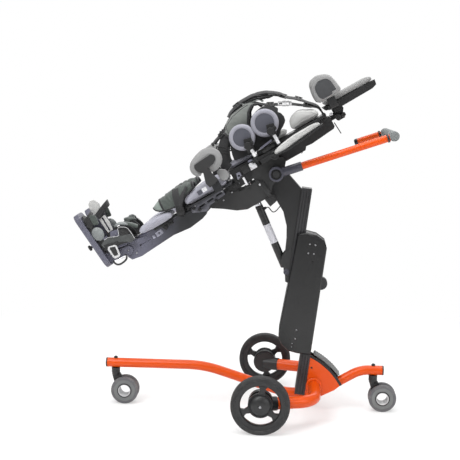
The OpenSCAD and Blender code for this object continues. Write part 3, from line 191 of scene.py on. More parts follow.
def finish_piece(name, source, matrix, finish, body, replaced=(), angle=SMOOTH_ANGLE, turn=True):
    """Makes the piece from a bmesh, a list for join_meshes or a mesh; hands it to its body."""
    if isinstance(source, list):
        source = join_meshes(source)
    if isinstance(source, bmesh.types.BMesh):
        if turn:
            bmesh.ops.recalc_face_normals(source, faces=source.faces)
        source = as_mesh(source, name)
    mesh = source
    mesh.name = name
    if matrix is not None:
        mesh.transform(matrix)
    mesh.materials.clear()
    mesh.materials.append(finish)
    for p in mesh.polygons:
        p.material_index = 0
        p.use_smooth = True
    mesh.set_sharp_from_angle(angle=angle)
    mesh.update()
    obj = new_object(name, mesh)
    if body:
        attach(obj, body)
    if replaced:
        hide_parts(*replaced)
    return obj


# %% [markdown]
# ## Round paths, tubes, bars and straps
# Bent tube is a circle carried along a path whose corners are arcs. Webbing is a flat rectangle
# carried the same way, with its own width and length coordinates for the weave.

# %% Paths
ARC_STEPS = 10


def arc_between(a, b, c, r, steps, share, straight):
    """The corner a-b-c as an arc of radius r that takes at most a share of each side."""
    u, w = (a - b).normalized(), (c - b).normalized()
    half = acos(max(-1, min(1, u.dot(w)))) / 2
    if r <= 0 or half > radians(straight):
        return [b]
    reach = min(r / tan(half), share * (a - b).length, share * (c - b).length)
    r = reach * tan(half)
    centre = b + (u + w).normalized() * r / sin(half)
    e0, e1, turn = b + u * reach - centre, b + w * reach - centre, pi - 2 * half
    return [centre + (e0 * sin((1 - i / steps) * turn) + e1 * sin(i / steps * turn)) / sin(turn)
            for i in range(steps + 1)]


def rounded_path(points, radii):
    """The path with each inner corner turned into an arc of its radius."""
    points = [Vector(p) for p in points]
    arcs = [arc_between(a, b, c, r, ARC_STEPS, 0.49, 89.5)
            for a, b, c, r in zip(points, points[1:], points[2:], radii)]
    return [points[0], *sum(arcs, []), points[-1]]


def curve_between(a, b, c, d, steps):
    """Points of a smooth curve from b up to c, with a before and d after."""
    return [0.5 * (2 * b + (c - a) * t + (2 * a - 5 * b + 4 * c - d) * t * t
                   + (3 * b - a - 3 * c + d) * t ** 3)
            for t in (i / steps for i in range(steps))]


def smooth_path(points, steps=8):
    """Points of a smooth curve through the given ones."""
    p = [Vector(q) for q in points]
    p = [p[0] * 2 - p[1]] + p + [p[-1] * 2 - p[-2]]
    curves = [curve_between(*four, steps) for four in zip(p, p[1:], p[2:], p[3:])]
    return sum(curves, []) + [p[-2]]


def sweep(path, section, reference, closed=False):
    """A closed section (u, v) carried along a path; u runs along reference as nearly as it can."""
    bm = bmesh.new()
    uv = bm.loops.layers.uv.new("along")
    reference = Vector(reference)
    n, k = len(path), len(section)
    rings, run, runs = [], 0.0, []
    for i, p in enumerate(path):
        before = path[i - 1] if (i or closed) else p
        after = path[(i + 1) % n] if (i < n - 1 or closed) else p
        t = (after - before).normalized()
        side = (reference - t * reference.dot(t)).normalized()
        up = t.cross(side)
        if i:
            run += (p - path[i - 1]).length
        runs.append(run)
        rings.append([bm.verts.new(p + side * u + up * v) for u, v in section])
    runs.append(run + (path[0] - path[-1]).length)
    around = [0.0]
    for a, b in zip(section, section[1:] + section[:1]):
        around.append(around[-1] + hypot(b[0] - a[0], b[1] - a[1]))
    for i in range(n if closed else n - 1):
        a, b = rings[i], rings[(i + 1) % n]
        for j in range(k):
            f = bm.faces.new((a[j], a[(j + 1) % k], b[(j + 1) % k], b[j]))
            place = ((j, i), (j + 1, i), (j + 1, i + 1), (j, i + 1))
            for loop, (q, r) in zip(f.loops, place):
                loop[uv].uv = (around[q] * MM, runs[r] * MM)
    if not closed:
        bm.faces.new(rings[0][::-1])
        bm.faces.new(rings[-1])
    bmesh.ops.recalc_face_normals(bm, faces=bm.faces)
    return bm


def ring_section(r, sides):
    return [(r * cos(2 * pi * j / sides), r * sin(2 * pi * j / sides)) for j in range(sides)]


def flat_section(w, t, round_share=0.45):
    """Rectangle of width w and thickness t whose corners are rounded."""
    r = t * round_share
    corners = ((w / 2 - r, t / 2 - r, 0), (r - w / 2, t / 2 - r, 90), (r - w / 2, r - t / 2, 180),
               (w / 2 - r, r - t / 2, 270))
    return [(x + r * cos(radians(a + b)), y + r * sin(radians(a + b)))
            for x, y, a in corners for b in (0, 45, 90)]


def tube(path, r, reference=(0, 1, 0), sides=40):
    return sweep(path, ring_section(r, sides), reference)


def strap(path, w, t, reference=(0, 1, 0)):
    return sweep(path, flat_section(w, t), reference)


# %% [markdown]
# ## Turned and cut-out shapes
# Knobs, hubs and collars are profiles turned about an axis. Plates and brackets are outlines
# given a thickness, with a small bevel that catches the light as real pressed metal does. Two
# more makers close a skin over rings of points, or between two grids of points.

# %% Turned and cut-out shapes
def turned(profile, sides=64):
    """Profile of (radius, height) turned about local z.

    Ends on the axis are closed; a profile that returns to its start makes a ring."""
    bm = bmesh.new()
    looped = profile[0] == profile[-1]
    rings = []
    for r, h in profile[:-1] if looped else profile:
        around = [2 * pi * j / sides for j in range(sides)] if r > 1e-6 else [0]
        rings.append([bm.verts.new((r * cos(a), r * sin(a), h)) for a in around])
    for a, b in zip(rings, rings[1:] + (rings[:1] if looped else [])):
        for j in range(sides):
            k = (j + 1) % sides
            corners = [a[j % len(a)], a[k % len(a)], b[k % len(b)], b[j % len(b)]]
            if len(a) + len(b) > 2:
                bm.faces.new(list(dict.fromkeys(corners)))
    if not looped:
        for ring in (rings[0], rings[-1]):
            if len(ring) > 1:
                bm.faces.new(ring)
    bmesh.ops.recalc_face_normals(bm, faces=bm.faces)
    return bm


def bevel(bm, width, segments=2, angle=radians(30)):
    edges = [e for e in bm.edges if len(e.link_faces) == 2 and e.calc_face_angle(0) > angle]
    bmesh.ops.bevel(bm, geom=edges, offset=width, offset_type="OFFSET", segments=segments,
                    profile=0.6, affect="EDGES", clamp_overlap=True)
    return bm


def cut_out(outline, y0, y1, edge=0.8, segments=2):
    """Outline of (x, z) points given thickness from y0 to y1 and a bevelled edge."""
    bm = bmesh.new()
    low = [bm.verts.new((x, y0, z)) for x, z in outline]
    high = [bm.verts.new((x, y1, z)) for x, z in outline]
    n = len(outline)
    bm.faces.new(low)
    bm.faces.new(high[::-1])
    for i in range(n):
        bm.faces.new((low[i], high[i], high[(i + 1) % n], low[(i + 1) % n]))
    bmesh.ops.recalc_face_normals(bm, faces=bm.faces)
    if edge:
        bevel(bm, edge, segments, radians(50))
    return bm


def rounded_outline(points, r, steps=5):
    """Closed outline of (x, z) points with every corner an arc of radius r."""
    flat = [Vector(p) for p in points]
    return [tuple(p) for a, b, c in zip(flat[-1:] + flat[:-1], flat, flat[1:] + flat[:1])
            for p in arc_between(a, b, c, r, steps, 0.45, 88)]


def prism(outline, r, y0, y1, edge, segments=2):
    """The cut-out of an outline whose corners are arcs of radius r."""
    return cut_out(rounded_outline(outline, r), y0, y1, edge, segments)


def block(x0, x1, y0, y1, z0, z1, edge=1.0, segments=2):
    """Box with bevelled edges."""
    return cut_out([(x0, z0), (x1, z0), (x1, z1), (x0, z1)], y0, y1, edge, segments)


def across(x, z, y):
    """Matrix that turns local z to point across the frame, at (x, y, z)."""
    return Matrix.Translation((x, y, z)) @ Matrix.Rotation(radians(90), 4, "X")


def along(x, y, z):
    """Matrix that turns local z to point along local x."""
    return Matrix.Translation((x, y, z)) @ Matrix.Rotation(radians(90), 4, "Y")


def outward(x, z, y, side):
    """Matrix that turns local z to point away from the middle, on that side."""
    return across(x, z, side * y) @ Matrix.Rotation(0 if side < 0 else pi, 4, "X")


def upright(x, z, y):
    return Matrix.Translation((x, y, z))


def pipe(r0, r1, z0, z1, sides=64):
    return turned([(r0, z0), (r1, z0), (r1, z1), (r0, z1), (r0, z0)], sides)


def post(r, length):
    return turned([(0, 0), (r, 0), (r, length), (0, length)], 32)


def skinned(rings):
    """A bmesh over rings of as many points each, filled at both ends."""
    bm = bmesh.new()
    rings = [[bm.verts.new(p) for p in ring] for ring in rings]
    for a, b in zip(rings, rings[1:]):
        for corners in zip(a, a[1:] + a[:1], b[1:] + b[:1], b):
            bm.faces.new(corners)
    bm.faces.new(rings[0][::-1])
    bm.faces.new(rings[-1])
    bmesh.ops.recalc_face_normals(bm, faces=bm.faces)
    return bm


def two_sided(outer, inner):
    """A bmesh between two grids of points, closed round their border, and that border."""
    bm = bmesh.new()
    top, low = ([[bm.verts.new(p) for p in row] for row in grid] for grid in (outer, inner))
    rows, columns = len(outer) - 1, len(outer[0]) - 1
    for j in range(rows):
        for i in range(columns):
            bm.faces.new((top[j][i], top[j][i + 1], top[j + 1][i + 1], top[j + 1][i]))
            bm.faces.new((low[j][i], low[j + 1][i], low[j + 1][i + 1], low[j][i + 1]))
    border = ([(0, i) for i in range(columns + 1)] + [(j, columns) for j in range(1, rows + 1)]
              + [(rows, i) for i in range(columns - 1, -1, -1)]
              + [(j, 0) for j in range(rows - 1, 0, -1)])
    for (j0, i0), (j1, i1) in zip(border, border[1:] + border[:1]):
        bm.faces.new((top[j0][i0], top[j1][i1], low[j1][i1], low[j0][i0]))
    bmesh.ops.recalc_face_normals(bm, faces=bm.faces)
    return bm, border

# %% [markdown]
# ## Writing finishes as sums
# A finish is a graph of nodes. It reads best as arithmetic, so a small class wraps a socket and
# gives it the usual operators, and one method of the graph makes any other node.

# %% Shader arithmetic
def linear(r, g, b):
    """A colour given as 0 to 255 of the screen, as the renderer's linear values."""
    line = [(v / 255 / 12.92) if v <= 10 else ((v / 255 + 0.055) / 1.055) ** 2.4 for v in (r, g, b)]
    return (*line, 1.0)


class Term:
    """A socket that can be added, subtracted, multiplied, divided and raised."""

    def __init__(self, graph, socket):
        self.graph, self.socket = graph, socket

    def _math(self, operation, *terms):
        return self.graph.node("ShaderNodeMath", {"operation": operation}, *terms)

    def __add__(self, other):
        return self._math("ADD", self, other)

    __radd__ = __add__

    def __mul__(self, other):
        return self._math("MULTIPLY", self, other)

    __rmul__ = __mul__

    def __sub__(self, other):
        return self._math("SUBTRACT", self, other)

    def __rsub__(self, other):
        return self._math("SUBTRACT", other, self)

    def __truediv__(self, other):
        return self._math("DIVIDE", self, other)

    def __pow__(self, other):
        return self._math("POWER", self, other)

    def sine(self):
        return self._math("SINE", self)

    def clamped(self):
        return self.graph.node("ShaderNodeClamp", {}, self)

    def bump(self, low, high):
        """0 below low and 1 above high, smoothly."""
        return self.graph.node("ShaderNodeMapRange", {"interpolation_type": "SMOOTHSTEP"},
                               self, low, high, 0.0, 1.0)


class Graph:
    """The node graph of one finish, or of the world."""

    def __init__(self, name, world=None):
        self.material = world or bpy.data.materials.new(name)
        self.material.use_nodes = True
        self.tree = self.material.node_tree
        self.tree.nodes.clear()

    def feed(self, socket, value):
        """Links a term to a socket or sets a plain value; None leaves it as it is."""
        if isinstance(value, Term):
            self.tree.links.new(value.socket, socket)
        elif value is not None:
            socket.default_value = value

    def end(self, kind, value):
        """The output node, fed with the shader."""
        self.feed(self.tree.nodes.new(kind).inputs[0], value)

    def node(self, kind, settings, *values, out=0, **named):
        made = self.tree.nodes.new(kind)
        for key, value in settings.items():
            setattr(made, key, value)
        pairs = list(enumerate(values)) + [(k.replace("_", " "), v) for k, v in named.items()]
        for key, value in pairs:
            self.feed(made.inputs[key], value)
        return Term(self, made.outputs[out])

    def place(self, scale=(1, 1, 1), turn=(0, 0, 0)):
        """Object coordinates, scaled and turned; one unit is a metre before scaling."""
        where = self.node("ShaderNodeTexCoord", {}, out="Object")
        return self.node("ShaderNodeMapping", {"vector_type": "POINT"}, where,
                         Scale=scale, Rotation=turn)

    def noise(self, place, scale, detail=2.0, rough=0.5):
        return self.node("ShaderNodeTexNoise", {}, Vector=place, Scale=scale, Detail=detail,
                         Roughness=rough, out="Fac")

    def cells(self, place, scale):
        return self.node("ShaderNodeTexVoronoi", {}, Vector=place, Scale=scale, out="Distance")

    def axes(self, place):
        """The three numbers of a place."""
        made = self.tree.nodes.new("ShaderNodeSeparateXYZ")
        self.feed(made.inputs[0], place)
        return [Term(self, o) for o in made.outputs]

    def mix(self, amount, a, b):
        """Screen colour a where amount is 0 and b where it is 1."""
        made = self.tree.nodes.new("ShaderNodeMix")
        made.data_type = "RGBA"
        for place, value in ((0, amount), (6, linear(*a)), (7, linear(*b))):
            self.feed(made.inputs[place], value)
        return Term(self, made.outputs[2])

    def relief(self, height, distance, strength=1.0):
        """A Bump node; distance in metres."""
        return self.node("ShaderNodeBump", {}, Height=height, Distance=distance, Strength=strength)

    def close(self, colour, roughness, normal=None, metallic=0.0, coat=0.0, coat_rough=0.1,
              sheen=0.0, specular=0.5):
        """The surface shader and the output; returns the finished material."""
        made = self.node("ShaderNodeBsdfPrincipled", {}, Base_Color=colour, Roughness=roughness,
                         Metallic=metallic, Normal=normal, Coat_Weight=coat,
                         Coat_Roughness=coat_rough, Sheen_Weight=sheen,
                         Specular_IOR_Level=specular)
        self.end("ShaderNodeOutputMaterial", made)
        return self.material


# %% [markdown]
# ## Powder coat, plastic and metal
# Powder coat is never quite flat: it has the fine orange peel of melted powder. Moulded plastic
# has a sand-like grain. Both also carry slight handling marks that change the gloss in patches.

# %% Hard finishes
LEAN = (0, radians(30), 0)


def powder(name, colour, deep, rough=0.4, coat=0.0, peel=0.00009, grain=420.0, specular=0.5):
    g = Graph(name)
    where = g.place()
    peel_height = g.noise(where, grain, 2.0)
    patch = g.noise(where, 9.0, 4.0, 0.6)
    marks = g.noise(where, 60.0, 5.0, 0.7).bump(0.5, 0.75)
    tone = g.mix((patch * 0.9 + marks * 0.1).clamped(), colour, deep)
    gloss = rough + (patch - 0.5) * 0.14 + marks * 0.05
    return g.close(tone, gloss, g.relief(peel_height, peel), coat=coat, coat_rough=0.12,
                   specular=specular)


def moulded(name, colour, deep, rough=0.5, grain=900.0, depth=0.00008):
    g = Graph(name)
    where = g.place()
    sand = g.cells(where, grain)
    patch = g.noise(where, 14.0, 4.0, 0.6)
    tone = g.mix(patch, colour, deep)
    gloss = rough + (patch - 0.5) * 0.18 + (sand - 0.4) * 0.1
    return g.close(tone, gloss, g.relief(sand, depth))


def brushed(name, colour, deep, turn=(0, 0, 0), stretch=(8, 300, 900), rough=0.32, metal=1.0):
    """Drawn or brushed metal: fine lines that run along one direction."""
    g = Graph(name)
    lines = g.noise(g.place(stretch, turn), 1.0, 3.0, 0.6)
    patch = g.noise(g.place(), 12.0, 3.0)
    tone = g.mix(lines * 0.6 + patch * 0.4, colour, deep)
    return g.close(tone, rough + (lines - 0.5) * 0.25, g.relief(lines, 0.00003), metallic=metal)


ORANGE = powder("orange_powder", (222, 82, 6), (202, 67, 2), 0.3, 0.08, 0.00006, 260.0, 0.3)
BLACK = powder("black_powder", (36, 36, 37), (22, 22, 23), 0.38, 0.15, 0.0001, 700.0)
CHARCOAL = powder("charcoal_powder", (42, 42, 42), (30, 30, 31), 0.55, 0.0, 0.00012, 900.0)
SLATE = powder("slate_powder", (98, 98, 112), (78, 78, 91), 0.4, 0.1, 0.0001, 600.0)


def graded(name, colour, dark, from_x, to_x):
    """Powder coat that darkens along the frame, as the lower leg does towards the knee."""
    g = Graph(name)
    where = g.place()
    x, _, _ = g.axes(where)
    patch = g.noise(where, 9.0, 4.0, 0.6)
    share = ((x - from_x) * (1 / (to_x - from_x)) + (patch - 0.5) * 0.3).clamped()
    return g.close(g.mix(share, colour, dark), 0.36 + (patch - 0.5) * 0.1,
                   g.relief(g.noise(where, 600.0, 2.0), 0.0001), coat=0.1, coat_rough=0.12)


RAIL = graded("rail_powder", (92, 92, 106), (32, 33, 36), -0.33, -0.2)
SLATE_DARK = powder("dark_slate_powder", (62, 62, 74), (46, 46, 56), 0.42, 0.1)
GLOSS_BLACK = moulded("housing_plastic", (18, 18, 19), (11, 11, 12), 0.22, 1400.0, 0.00003)
PLASTIC = moulded("black_plastic", (30, 30, 31), (18, 18, 19), 0.42)
WHEEL_GREY = moulded("wheel_plastic", (35, 35, 36), (23, 23, 24), 0.4)
PALE_PLASTIC = moulded("pale_plastic", (205, 205, 205), (182, 182, 184), 0.45)
GREY_PLASTIC = moulded("grey_plastic", (122, 124, 124), (100, 102, 102), 0.4)
# Polished steel posts, pins and rods get near-white paint: a painted reflection of their glare.
GLARE_WHITE = powder("glare_white_steel", (240, 240, 242), (226, 226, 230), 0.22, 0.5, 0.00002, 300.0)
STEEL = brushed("bright_steel", (206, 206, 210), (168, 168, 172), rough=0.24)
ZINC = brushed("zinc_fastener", (188, 188, 190), (140, 140, 144), (0, 0, 0), (90, 90, 90), 0.34)
SILVER = brushed("silver_bracket", (176, 176, 188), (132, 132, 146), LEAN, (12, 200, 500), 0.4)
DULL = brushed("dull_bracket", (128, 128, 136), (58, 58, 64), LEAN, (60, 90, 90), 0.45, 0.6)
ANODISED = brushed("black_anodised", (66, 66, 68), (44, 44, 46), (0, radians(-7), 0),
                   (700, 500, 6), 0.4, 0.35)

# %% [markdown]
# ## Rubber and foam
# Tyre rubber is matt, and its tread is greyed by dust. Grip foam is full of small cells.

# %% Rubber and foam
def rubber(name, colour, dust, rough=0.72):
    g = Graph(name)
    where = g.place()
    fine = g.noise(where, 700.0, 3.0)
    worn = g.noise(where, 40.0, 5.0, 0.7).bump(0.42, 0.72)
    tone = g.mix(worn * 0.7, colour, dust)
    return g.close(tone, rough + (fine - 0.5) * 0.15, g.relief(fine, 0.00012))


def foam(name, colour, deep):
    g = Graph(name)
    where = g.place()
    pores = g.cells(where, 420.0)
    patch = g.noise(where, 25.0, 4.0)
    tone = g.mix((pores * 0.8 + patch * 0.4).clamped(), deep, colour)
    return g.close(tone, 0.78 + (patch - 0.5) * 0.1, g.relief(pores, 0.0005, 0.8))


TYRE = rubber("tyre_rubber", (40, 40, 41), (64, 63, 62))
CASTER_TREAD = rubber("caster_rubber", (92, 92, 95), (122, 121, 120), 0.6)
SOFT_RUBBER = rubber("cable_rubber", (26, 26, 27), (44, 44, 45), 0.55)
RUBBER_GREY = rubber("grey_rubber", (64, 66, 66), (84, 86, 86), 0.6)
RUBBER_PALE = rubber("pale_rubber", (118, 122, 122), (138, 142, 142), 0.55)
GRIP_FOAM = foam("grip_foam", (128, 132, 132), (84, 88, 88))

# %% [markdown]
# ## Cloth
# The cushions wear a close-knit grey cloth, and the cuffs and vest a thicker grey-green one. The
# knit is drawn from the place on the piece, turned with the leaning support, so that its rows
# run along the cushion. Webbing reads its own length and width, so its ribs follow every bend.

# %% Cloth finishes
def knit(name, colour, deep, pitch=0.0022, depth=0.00035, sheen=0.25, fuzz=0.5):
    """Rows of small loops with fuzz and soft changes of tone."""
    g = Graph(name)
    where = g.place(turn=LEAN)
    x, y, z = g.axes(where)
    turns = 2 * pi / pitch
    wales = ((x * turns).sine() + (y * turns).sine() + (z * turns).sine()) / 3.0
    courses = ((x * turns * 0.5 + y * turns * 0.5).sine() + (z * turns * 0.7).sine()) * 0.5
    loops = wales * 0.6 + courses * 0.4
    hairs = g.noise(where, 1500.0, 3.0, 0.7)
    patch = g.noise(where, 18.0, 5.0, 0.65)
    height = loops * 0.6 + hairs * fuzz
    tone = g.mix((patch * 0.7 + hairs * 0.35 - loops * 0.12).clamped(), colour, deep)
    return g.close(tone, 0.86 + (hairs - 0.5) * 0.12, g.relief(height, depth, 0.8),
                   sheen=sheen, specular=0.25)


WEAVE_RIB, WEAVE_ROW = 0.0016, 0.0025


def webbing(name, colour, deep):
    """Woven tape: cross ribs along its length and fine chevrons across it."""
    g = Graph(name)
    made = g.node("ShaderNodeUVMap", {"uv_map": "along"})
    u, v, _ = g.axes(made)
    ribs = (v * (2 * pi / WEAVE_RIB)).sine()
    rows_wave = (u * (2 * pi / WEAVE_ROW) + ribs * 0.6).sine()
    hairs = g.noise(g.place(), 1200.0, 2.0)
    height = ribs * 0.35 + rows_wave * 0.35 + hairs * 0.3
    tone = g.mix((height * 0.5 + 0.5).clamped(), deep, colour)
    return g.close(tone, 0.7 + (hairs - 0.5) * 0.2, g.relief(height, 0.0003, 0.8),
                   sheen=0.15, specular=0.35)


PAD_GREY = knit("pad_cloth", (170, 170, 180), (148, 148, 159))
PAD_WARM = knit("pad_cloth_warm", (190, 190, 188), (168, 168, 167))
PANEL_BLUE = knit("panel_cloth", (88, 89, 98), (70, 71, 79), 0.0028)
# The wings, hip pads and thigh bolsters get this darker grey copy of the light pad cloth: painted
# shade on faces that get less light.
PAD_SHADED = knit("wing_cloth", (148, 148, 148), (126, 126, 126))
# The trunk ring pads wear the grey pad cloth; this darker copy of it is painted shade on their
# faces turned from the light.
PAD_RING_SHADED = knit("ring_cloth_shaded", (154, 154, 163), (132, 132, 142))
PAD_HEAD = knit("head_cloth", (146, 146, 145), (124, 124, 124), depth=0.0001, sheen=0.1, fuzz=0.2)
PANEL_GREY = knit("panel_cloth_grey", (70, 71, 73), (62, 63, 65), 0.0028)
VEST_CLOTH = knit("vest_cloth", (112, 115, 112), (82, 86, 83), 0.0032)
CUFF_CLOTH = knit("cuff_cloth", (84, 90, 86), (60, 66, 63), 0.0032)
# The knee cup's nose wears a paler copy of the cuff cloth: a painted highlight.
NOSE_HIGHLIGHT_CLOTH = knit("nose_cloth_highlight", (150, 160, 154), (118, 128, 122), 0.0032)
BINDING = knit("binding_tape", (46, 46, 47), (32, 32, 33), 0.0014)
WEBBING = webbing("black_webbing", (48, 48, 49), (26, 26, 27))
WEBBING_GREY = webbing("grey_webbing", (120, 124, 122), (88, 92, 90))
THREAD = moulded("sewing_thread", (90, 90, 94), (70, 70, 74), 0.8, 3000.0)


def speckled(name, colour, fleck):
    """Pale plastic with dark flecks, as on the foot straps' stiff tabs."""
    g = Graph(name)
    where = g.place()
    flecks = g.cells(where, 330.0).bump(0.18, 0.3)
    cloud = g.noise(where, 300.0, 3.0)
    tone = g.mix((flecks * 0.8 + cloud * 0.35).clamped(), fleck, colour)
    return g.close(tone, 0.62 + (cloud - 0.5) * 0.15, g.relief(flecks, 0.0002, 0.6))


SPECKLED = speckled("speckled_tab", (188, 188, 186), (110, 110, 110))


def sticker(name, plain, band, pitch):
    """A blank generic label: pale film with a few soft grey bars."""
    g = Graph(name)
    where = g.place(turn=LEAN)
    x, _, _ = g.axes(where)
    bars = (x * (2 * pi / pitch)).sine().bump(0.2, 0.5)
    gap = g.noise(where, 240.0, 1.0).bump(0.45, 0.6)
    grain = g.noise(where, 900.0, 2.0)
    tone = g.mix((bars * gap * 0.55).clamped(), plain, band)
    return g.close(tone, 0.42 + (grain - 0.5) * 0.1, g.relief(grain, 0.00003))


LABEL = sticker("blank_label", (226, 226, 228), (150, 150, 156), 0.011)
SILVER_FILM = sticker("silver_film", (196, 196, 202), (150, 150, 158), 0.02)
print("finishes", len(bpy.data.materials))

# %% [markdown]
# ## Easing the edges of the hard parts
# A solid model's edges are perfectly sharp, and real ones never are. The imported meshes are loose
# triangles, so a copy is welded, its flat faces are joined again, and every sharp edge gets a
# small bevel. The copy then stands for the part.

# %% Softened copies of hard parts
node_body = {n: b for b, ns in frame["record"]["behaviour"]["bodies"].items() for n in ns}
WELD = 2e-5
EASE_ANGLE = radians(28)


def softened(node, width, finish, name=None):
    """Replaces a hard CAD part by its copy with edges eased by width millimetres."""
    bm = bmesh.new()
    bm.from_mesh(nodes[node].data)
    bmesh.ops.remove_doubles(bm, verts=bm.verts, dist=WELD)
    bmesh.ops.dissolve_limit(bm, angle_limit=radians(1.0), verts=bm.verts, edges=bm.edges)
    bevel(bm, width * MM, 2, EASE_ANGLE)
    bmesh.ops.dissolve_degenerate(bm, dist=1e-7, edges=bm.edges)
    bmesh.ops.triangulate(bm, faces=[f for f in bm.faces if len(f.verts) > 4])
    obj = finish_piece(name or node + "_eased", bm, None, finish, node_body[node], (node,),
                       turn=False)
    weigh = obj.modifiers.new("even_shading", "WEIGHTED_NORMAL")
    weigh.keep_sharp = True
    return obj


# %% [markdown]
# ## Plates with openings
# A wheel's spokes or a slotted bracket is a plate with holes. The outline and the holes are
# filled in one step, raised to the plate's thickness, and bevelled.

# %% Plates with openings
def plate(outline, holes, y0, y1, edge=0.8, segments=2):
    """Outline and holes of (x, z) points, filled and given thickness from y0 to y1."""
    bm = bmesh.new()
    for loop in [outline] + list(holes):
        verts = [bm.verts.new((x, y0, z)) for x, z in loop]
        for a, b in zip(verts, verts[1:] + verts[:1]):
            bm.edges.new((a, b))
    bmesh.ops.triangle_fill(bm, use_beauty=True, use_dissolve=False, edges=bm.edges)
    made = bmesh.ops.extrude_face_region(bm, geom=bm.faces[:])
    raised = [v for v in made["geom"] if isinstance(v, bmesh.types.BMVert)]
    bmesh.ops.translate(bm, vec=(0, y1 - y0, 0), verts=raised)
    bmesh.ops.recalc_face_normals(bm, faces=bm.faces)
    bmesh.ops.dissolve_limit(bm, angle_limit=radians(1.0), verts=bm.verts, edges=bm.edges)
    if edge:
        bevel(bm, edge, segments, radians(50))
    return bm


def slot_outline(x, z, length, r, turn):
    """Slot with round ends, centred at (x, z)."""
    out = []
    for end, start in ((length / 2, -90), (-length / 2, 90)):
        for i in range(9):
            a = radians(start + 180 * i / 8)
            out.append((end + r * cos(a), r * sin(a)))
    return [(x + p * cos(turn) - q * sin(turn), z + p * sin(turn) + q * cos(turn)) for p, q in out]


def circle_outline(x, z, r, steps=24):
    return [(x + r * cos(2 * pi * i / steps), z + r * sin(2 * pi * i / steps))
            for i in range(steps)]


# %% [markdown]
# ## The fasteners, by Geometry Nodes
# Screws, bolts and rivets repeat all over the frame. One node tree places a screw head on every
# point of a small cloud, turned the way the point's normal says. The head's size is an input,
# and the tree ends in Realize Instances and Set Material.

# %% Fastener tree
def make_tree(name, inputs):
    tree = bpy.data.node_groups.new(name, "GeometryNodeTree")
    tree.interface.new_socket("Geometry", in_out="OUTPUT", socket_type="NodeSocketGeometry")
    tree.interface.new_socket("Geometry", in_out="INPUT", socket_type="NodeSocketGeometry")
    for label, kind, value in inputs:
        item = tree.interface.new_socket(label, in_out="INPUT", socket_type=kind)
        if value is not None:
            item.default_value = value
    return tree


def add(tree, kind, settings=None, **values):
    made = tree.nodes.new(kind)
    for key, value in (settings or {}).items():
        setattr(made, key, value)
    for key, value in values.items():
        socket = made.inputs[key.replace("_", " ")]
        if isinstance(value, bpy.types.NodeSocket):
            tree.links.new(value, socket)
        else:
            socket.default_value = value
    return made


def scatter_tree():
    """Instances of an object on every point, along the point's normal, scaled by Size."""
    tree = make_tree("scatter_along_normals", [
        ("Size", "NodeSocketFloat", 0.003), ("Head", "NodeSocketObject", None),
        ("Finish", "NodeSocketMaterial", None)])
    start = add(tree, "NodeGroupInput")
    end = add(tree, "NodeGroupOutput")
    head = add(tree, "GeometryNodeObjectInfo", Object=start.outputs["Head"])
    normal = add(tree, "GeometryNodeInputNamedAttribute", {"data_type": "FLOAT_VECTOR"},
                 Name="facing")
    turn = add(tree, "FunctionNodeAlignRotationToVector", {"axis": "Z"},
               Vector=normal.outputs["Attribute"])
    points = add(tree, "GeometryNodeMeshToPoints", Mesh=start.outputs["Geometry"])
    placed = add(tree, "GeometryNodeInstanceOnPoints", Points=points.outputs[0],
                 Instance=head.outputs["Geometry"], Rotation=turn.outputs["Rotation"],
                 Scale=start.outputs["Size"])
    real = add(tree, "GeometryNodeRealizeInstances", Geometry=placed.outputs[0])
    dressed = add(tree, "GeometryNodeSetMaterial", Geometry=real.outputs[0],
                  Material=start.outputs["Finish"])
    tree.links.new(dressed.outputs[0], end.inputs[0])
    return tree


def socket_id(tree, label):
    return next(i.identifier for i in tree.interface.items_tree
                if i.name == label and i.in_out == "INPUT")


SCATTER = scatter_tree()


def screw_head():
    """A button head with a hexagon socket, one unit in radius."""
    around = [2 * pi * j / 24 for j in range(24)]
    rings = [[(r * cos(a), r * sin(a), h) for a in around] for r, h in
             ((1.0, -0.15), (1.0, 0.12), (0.93, 0.3), (0.75, 0.46), (0.55, 0.52))]
    socket = [(a, 0.46 / max(cos(a % (pi / 3) - pi / 6), 0.1)) for a in around]
    rings += [[(r * cos(a), r * sin(a), depth) for a, r in socket] for depth in (0.52, 0.1)]
    return bpy.data.objects.new("screw_head", as_mesh(skinned(rings), "screw_head"))


SCREW = screw_head()


def evaluated_mesh(obj):
    return bpy.data.meshes.new_from_object(obj.evaluated_get(bpy.context.evaluated_depsgraph_get()))


def fasteners(name, places, size, finish, body):
    """Heads of radius size (mm) at places of (point, direction) in metres, in one mesh."""
    mesh = bpy.data.meshes.new(name)
    mesh.from_pydata([p for p, _ in places], [], [])
    facing = mesh.attributes.new("facing", "FLOAT_VECTOR", "POINT")
    for i, (_, d) in enumerate(places):
        facing.data[i].vector = d
    cloud = new_object(name + "_cloud", mesh)
    grow = cloud.modifiers.new("scatter", "NODES")
    grow.node_group = SCATTER
    grow[socket_id(SCATTER, "Size")] = size * MM
    grow[socket_id(SCATTER, "Head")] = SCREW
    grow[socket_id(SCATTER, "Finish")] = finish
    solid = evaluated_mesh(cloud)
    bpy.data.objects.remove(cloud)
    return finish_piece(name, solid, None, finish, body)


def spots(matrix, points, direction):
    """Places for fasteners given in a local frame."""
    d = (matrix.to_3x3() @ Vector(direction)).normalized()
    return [(matrix @ Vector(p), d) for p in points]


def spots_on_side(matrix, side, places, y):
    """Places at y on one side of the frame, given by x and z."""
    return spots(matrix, [(x, side * y, z) for x, z in places], (0, side, 0))


# %% [markdown]
# ## Spine and side legs
# The base is one long tube bent down under the mast, and two tubes that sweep out to the middle
# wheels. Their solids have few sides, so smooth tubes along the same bends stand for them.

# %% Spine and legs
SPINE_R, LEG_R = 17.0, 21.0
SPINE_Z, SPINE_LOW_Z = 149.0, 58.0
FRONT_REACH, REAR_REACH = 539.0, 398.0
WHEEL_Y, WHEEL_R, DRUM_Y = 307.0, 100.0, 268.0
LEG_Z, LEG_CORNER_X, LEG_CORNER_Y, LEG_START = 92.0, 185.0, 215.0, 46.0
leg_angle = atan2(DRUM_Y - LEG_CORNER_Y, LEG_CORNER_X)

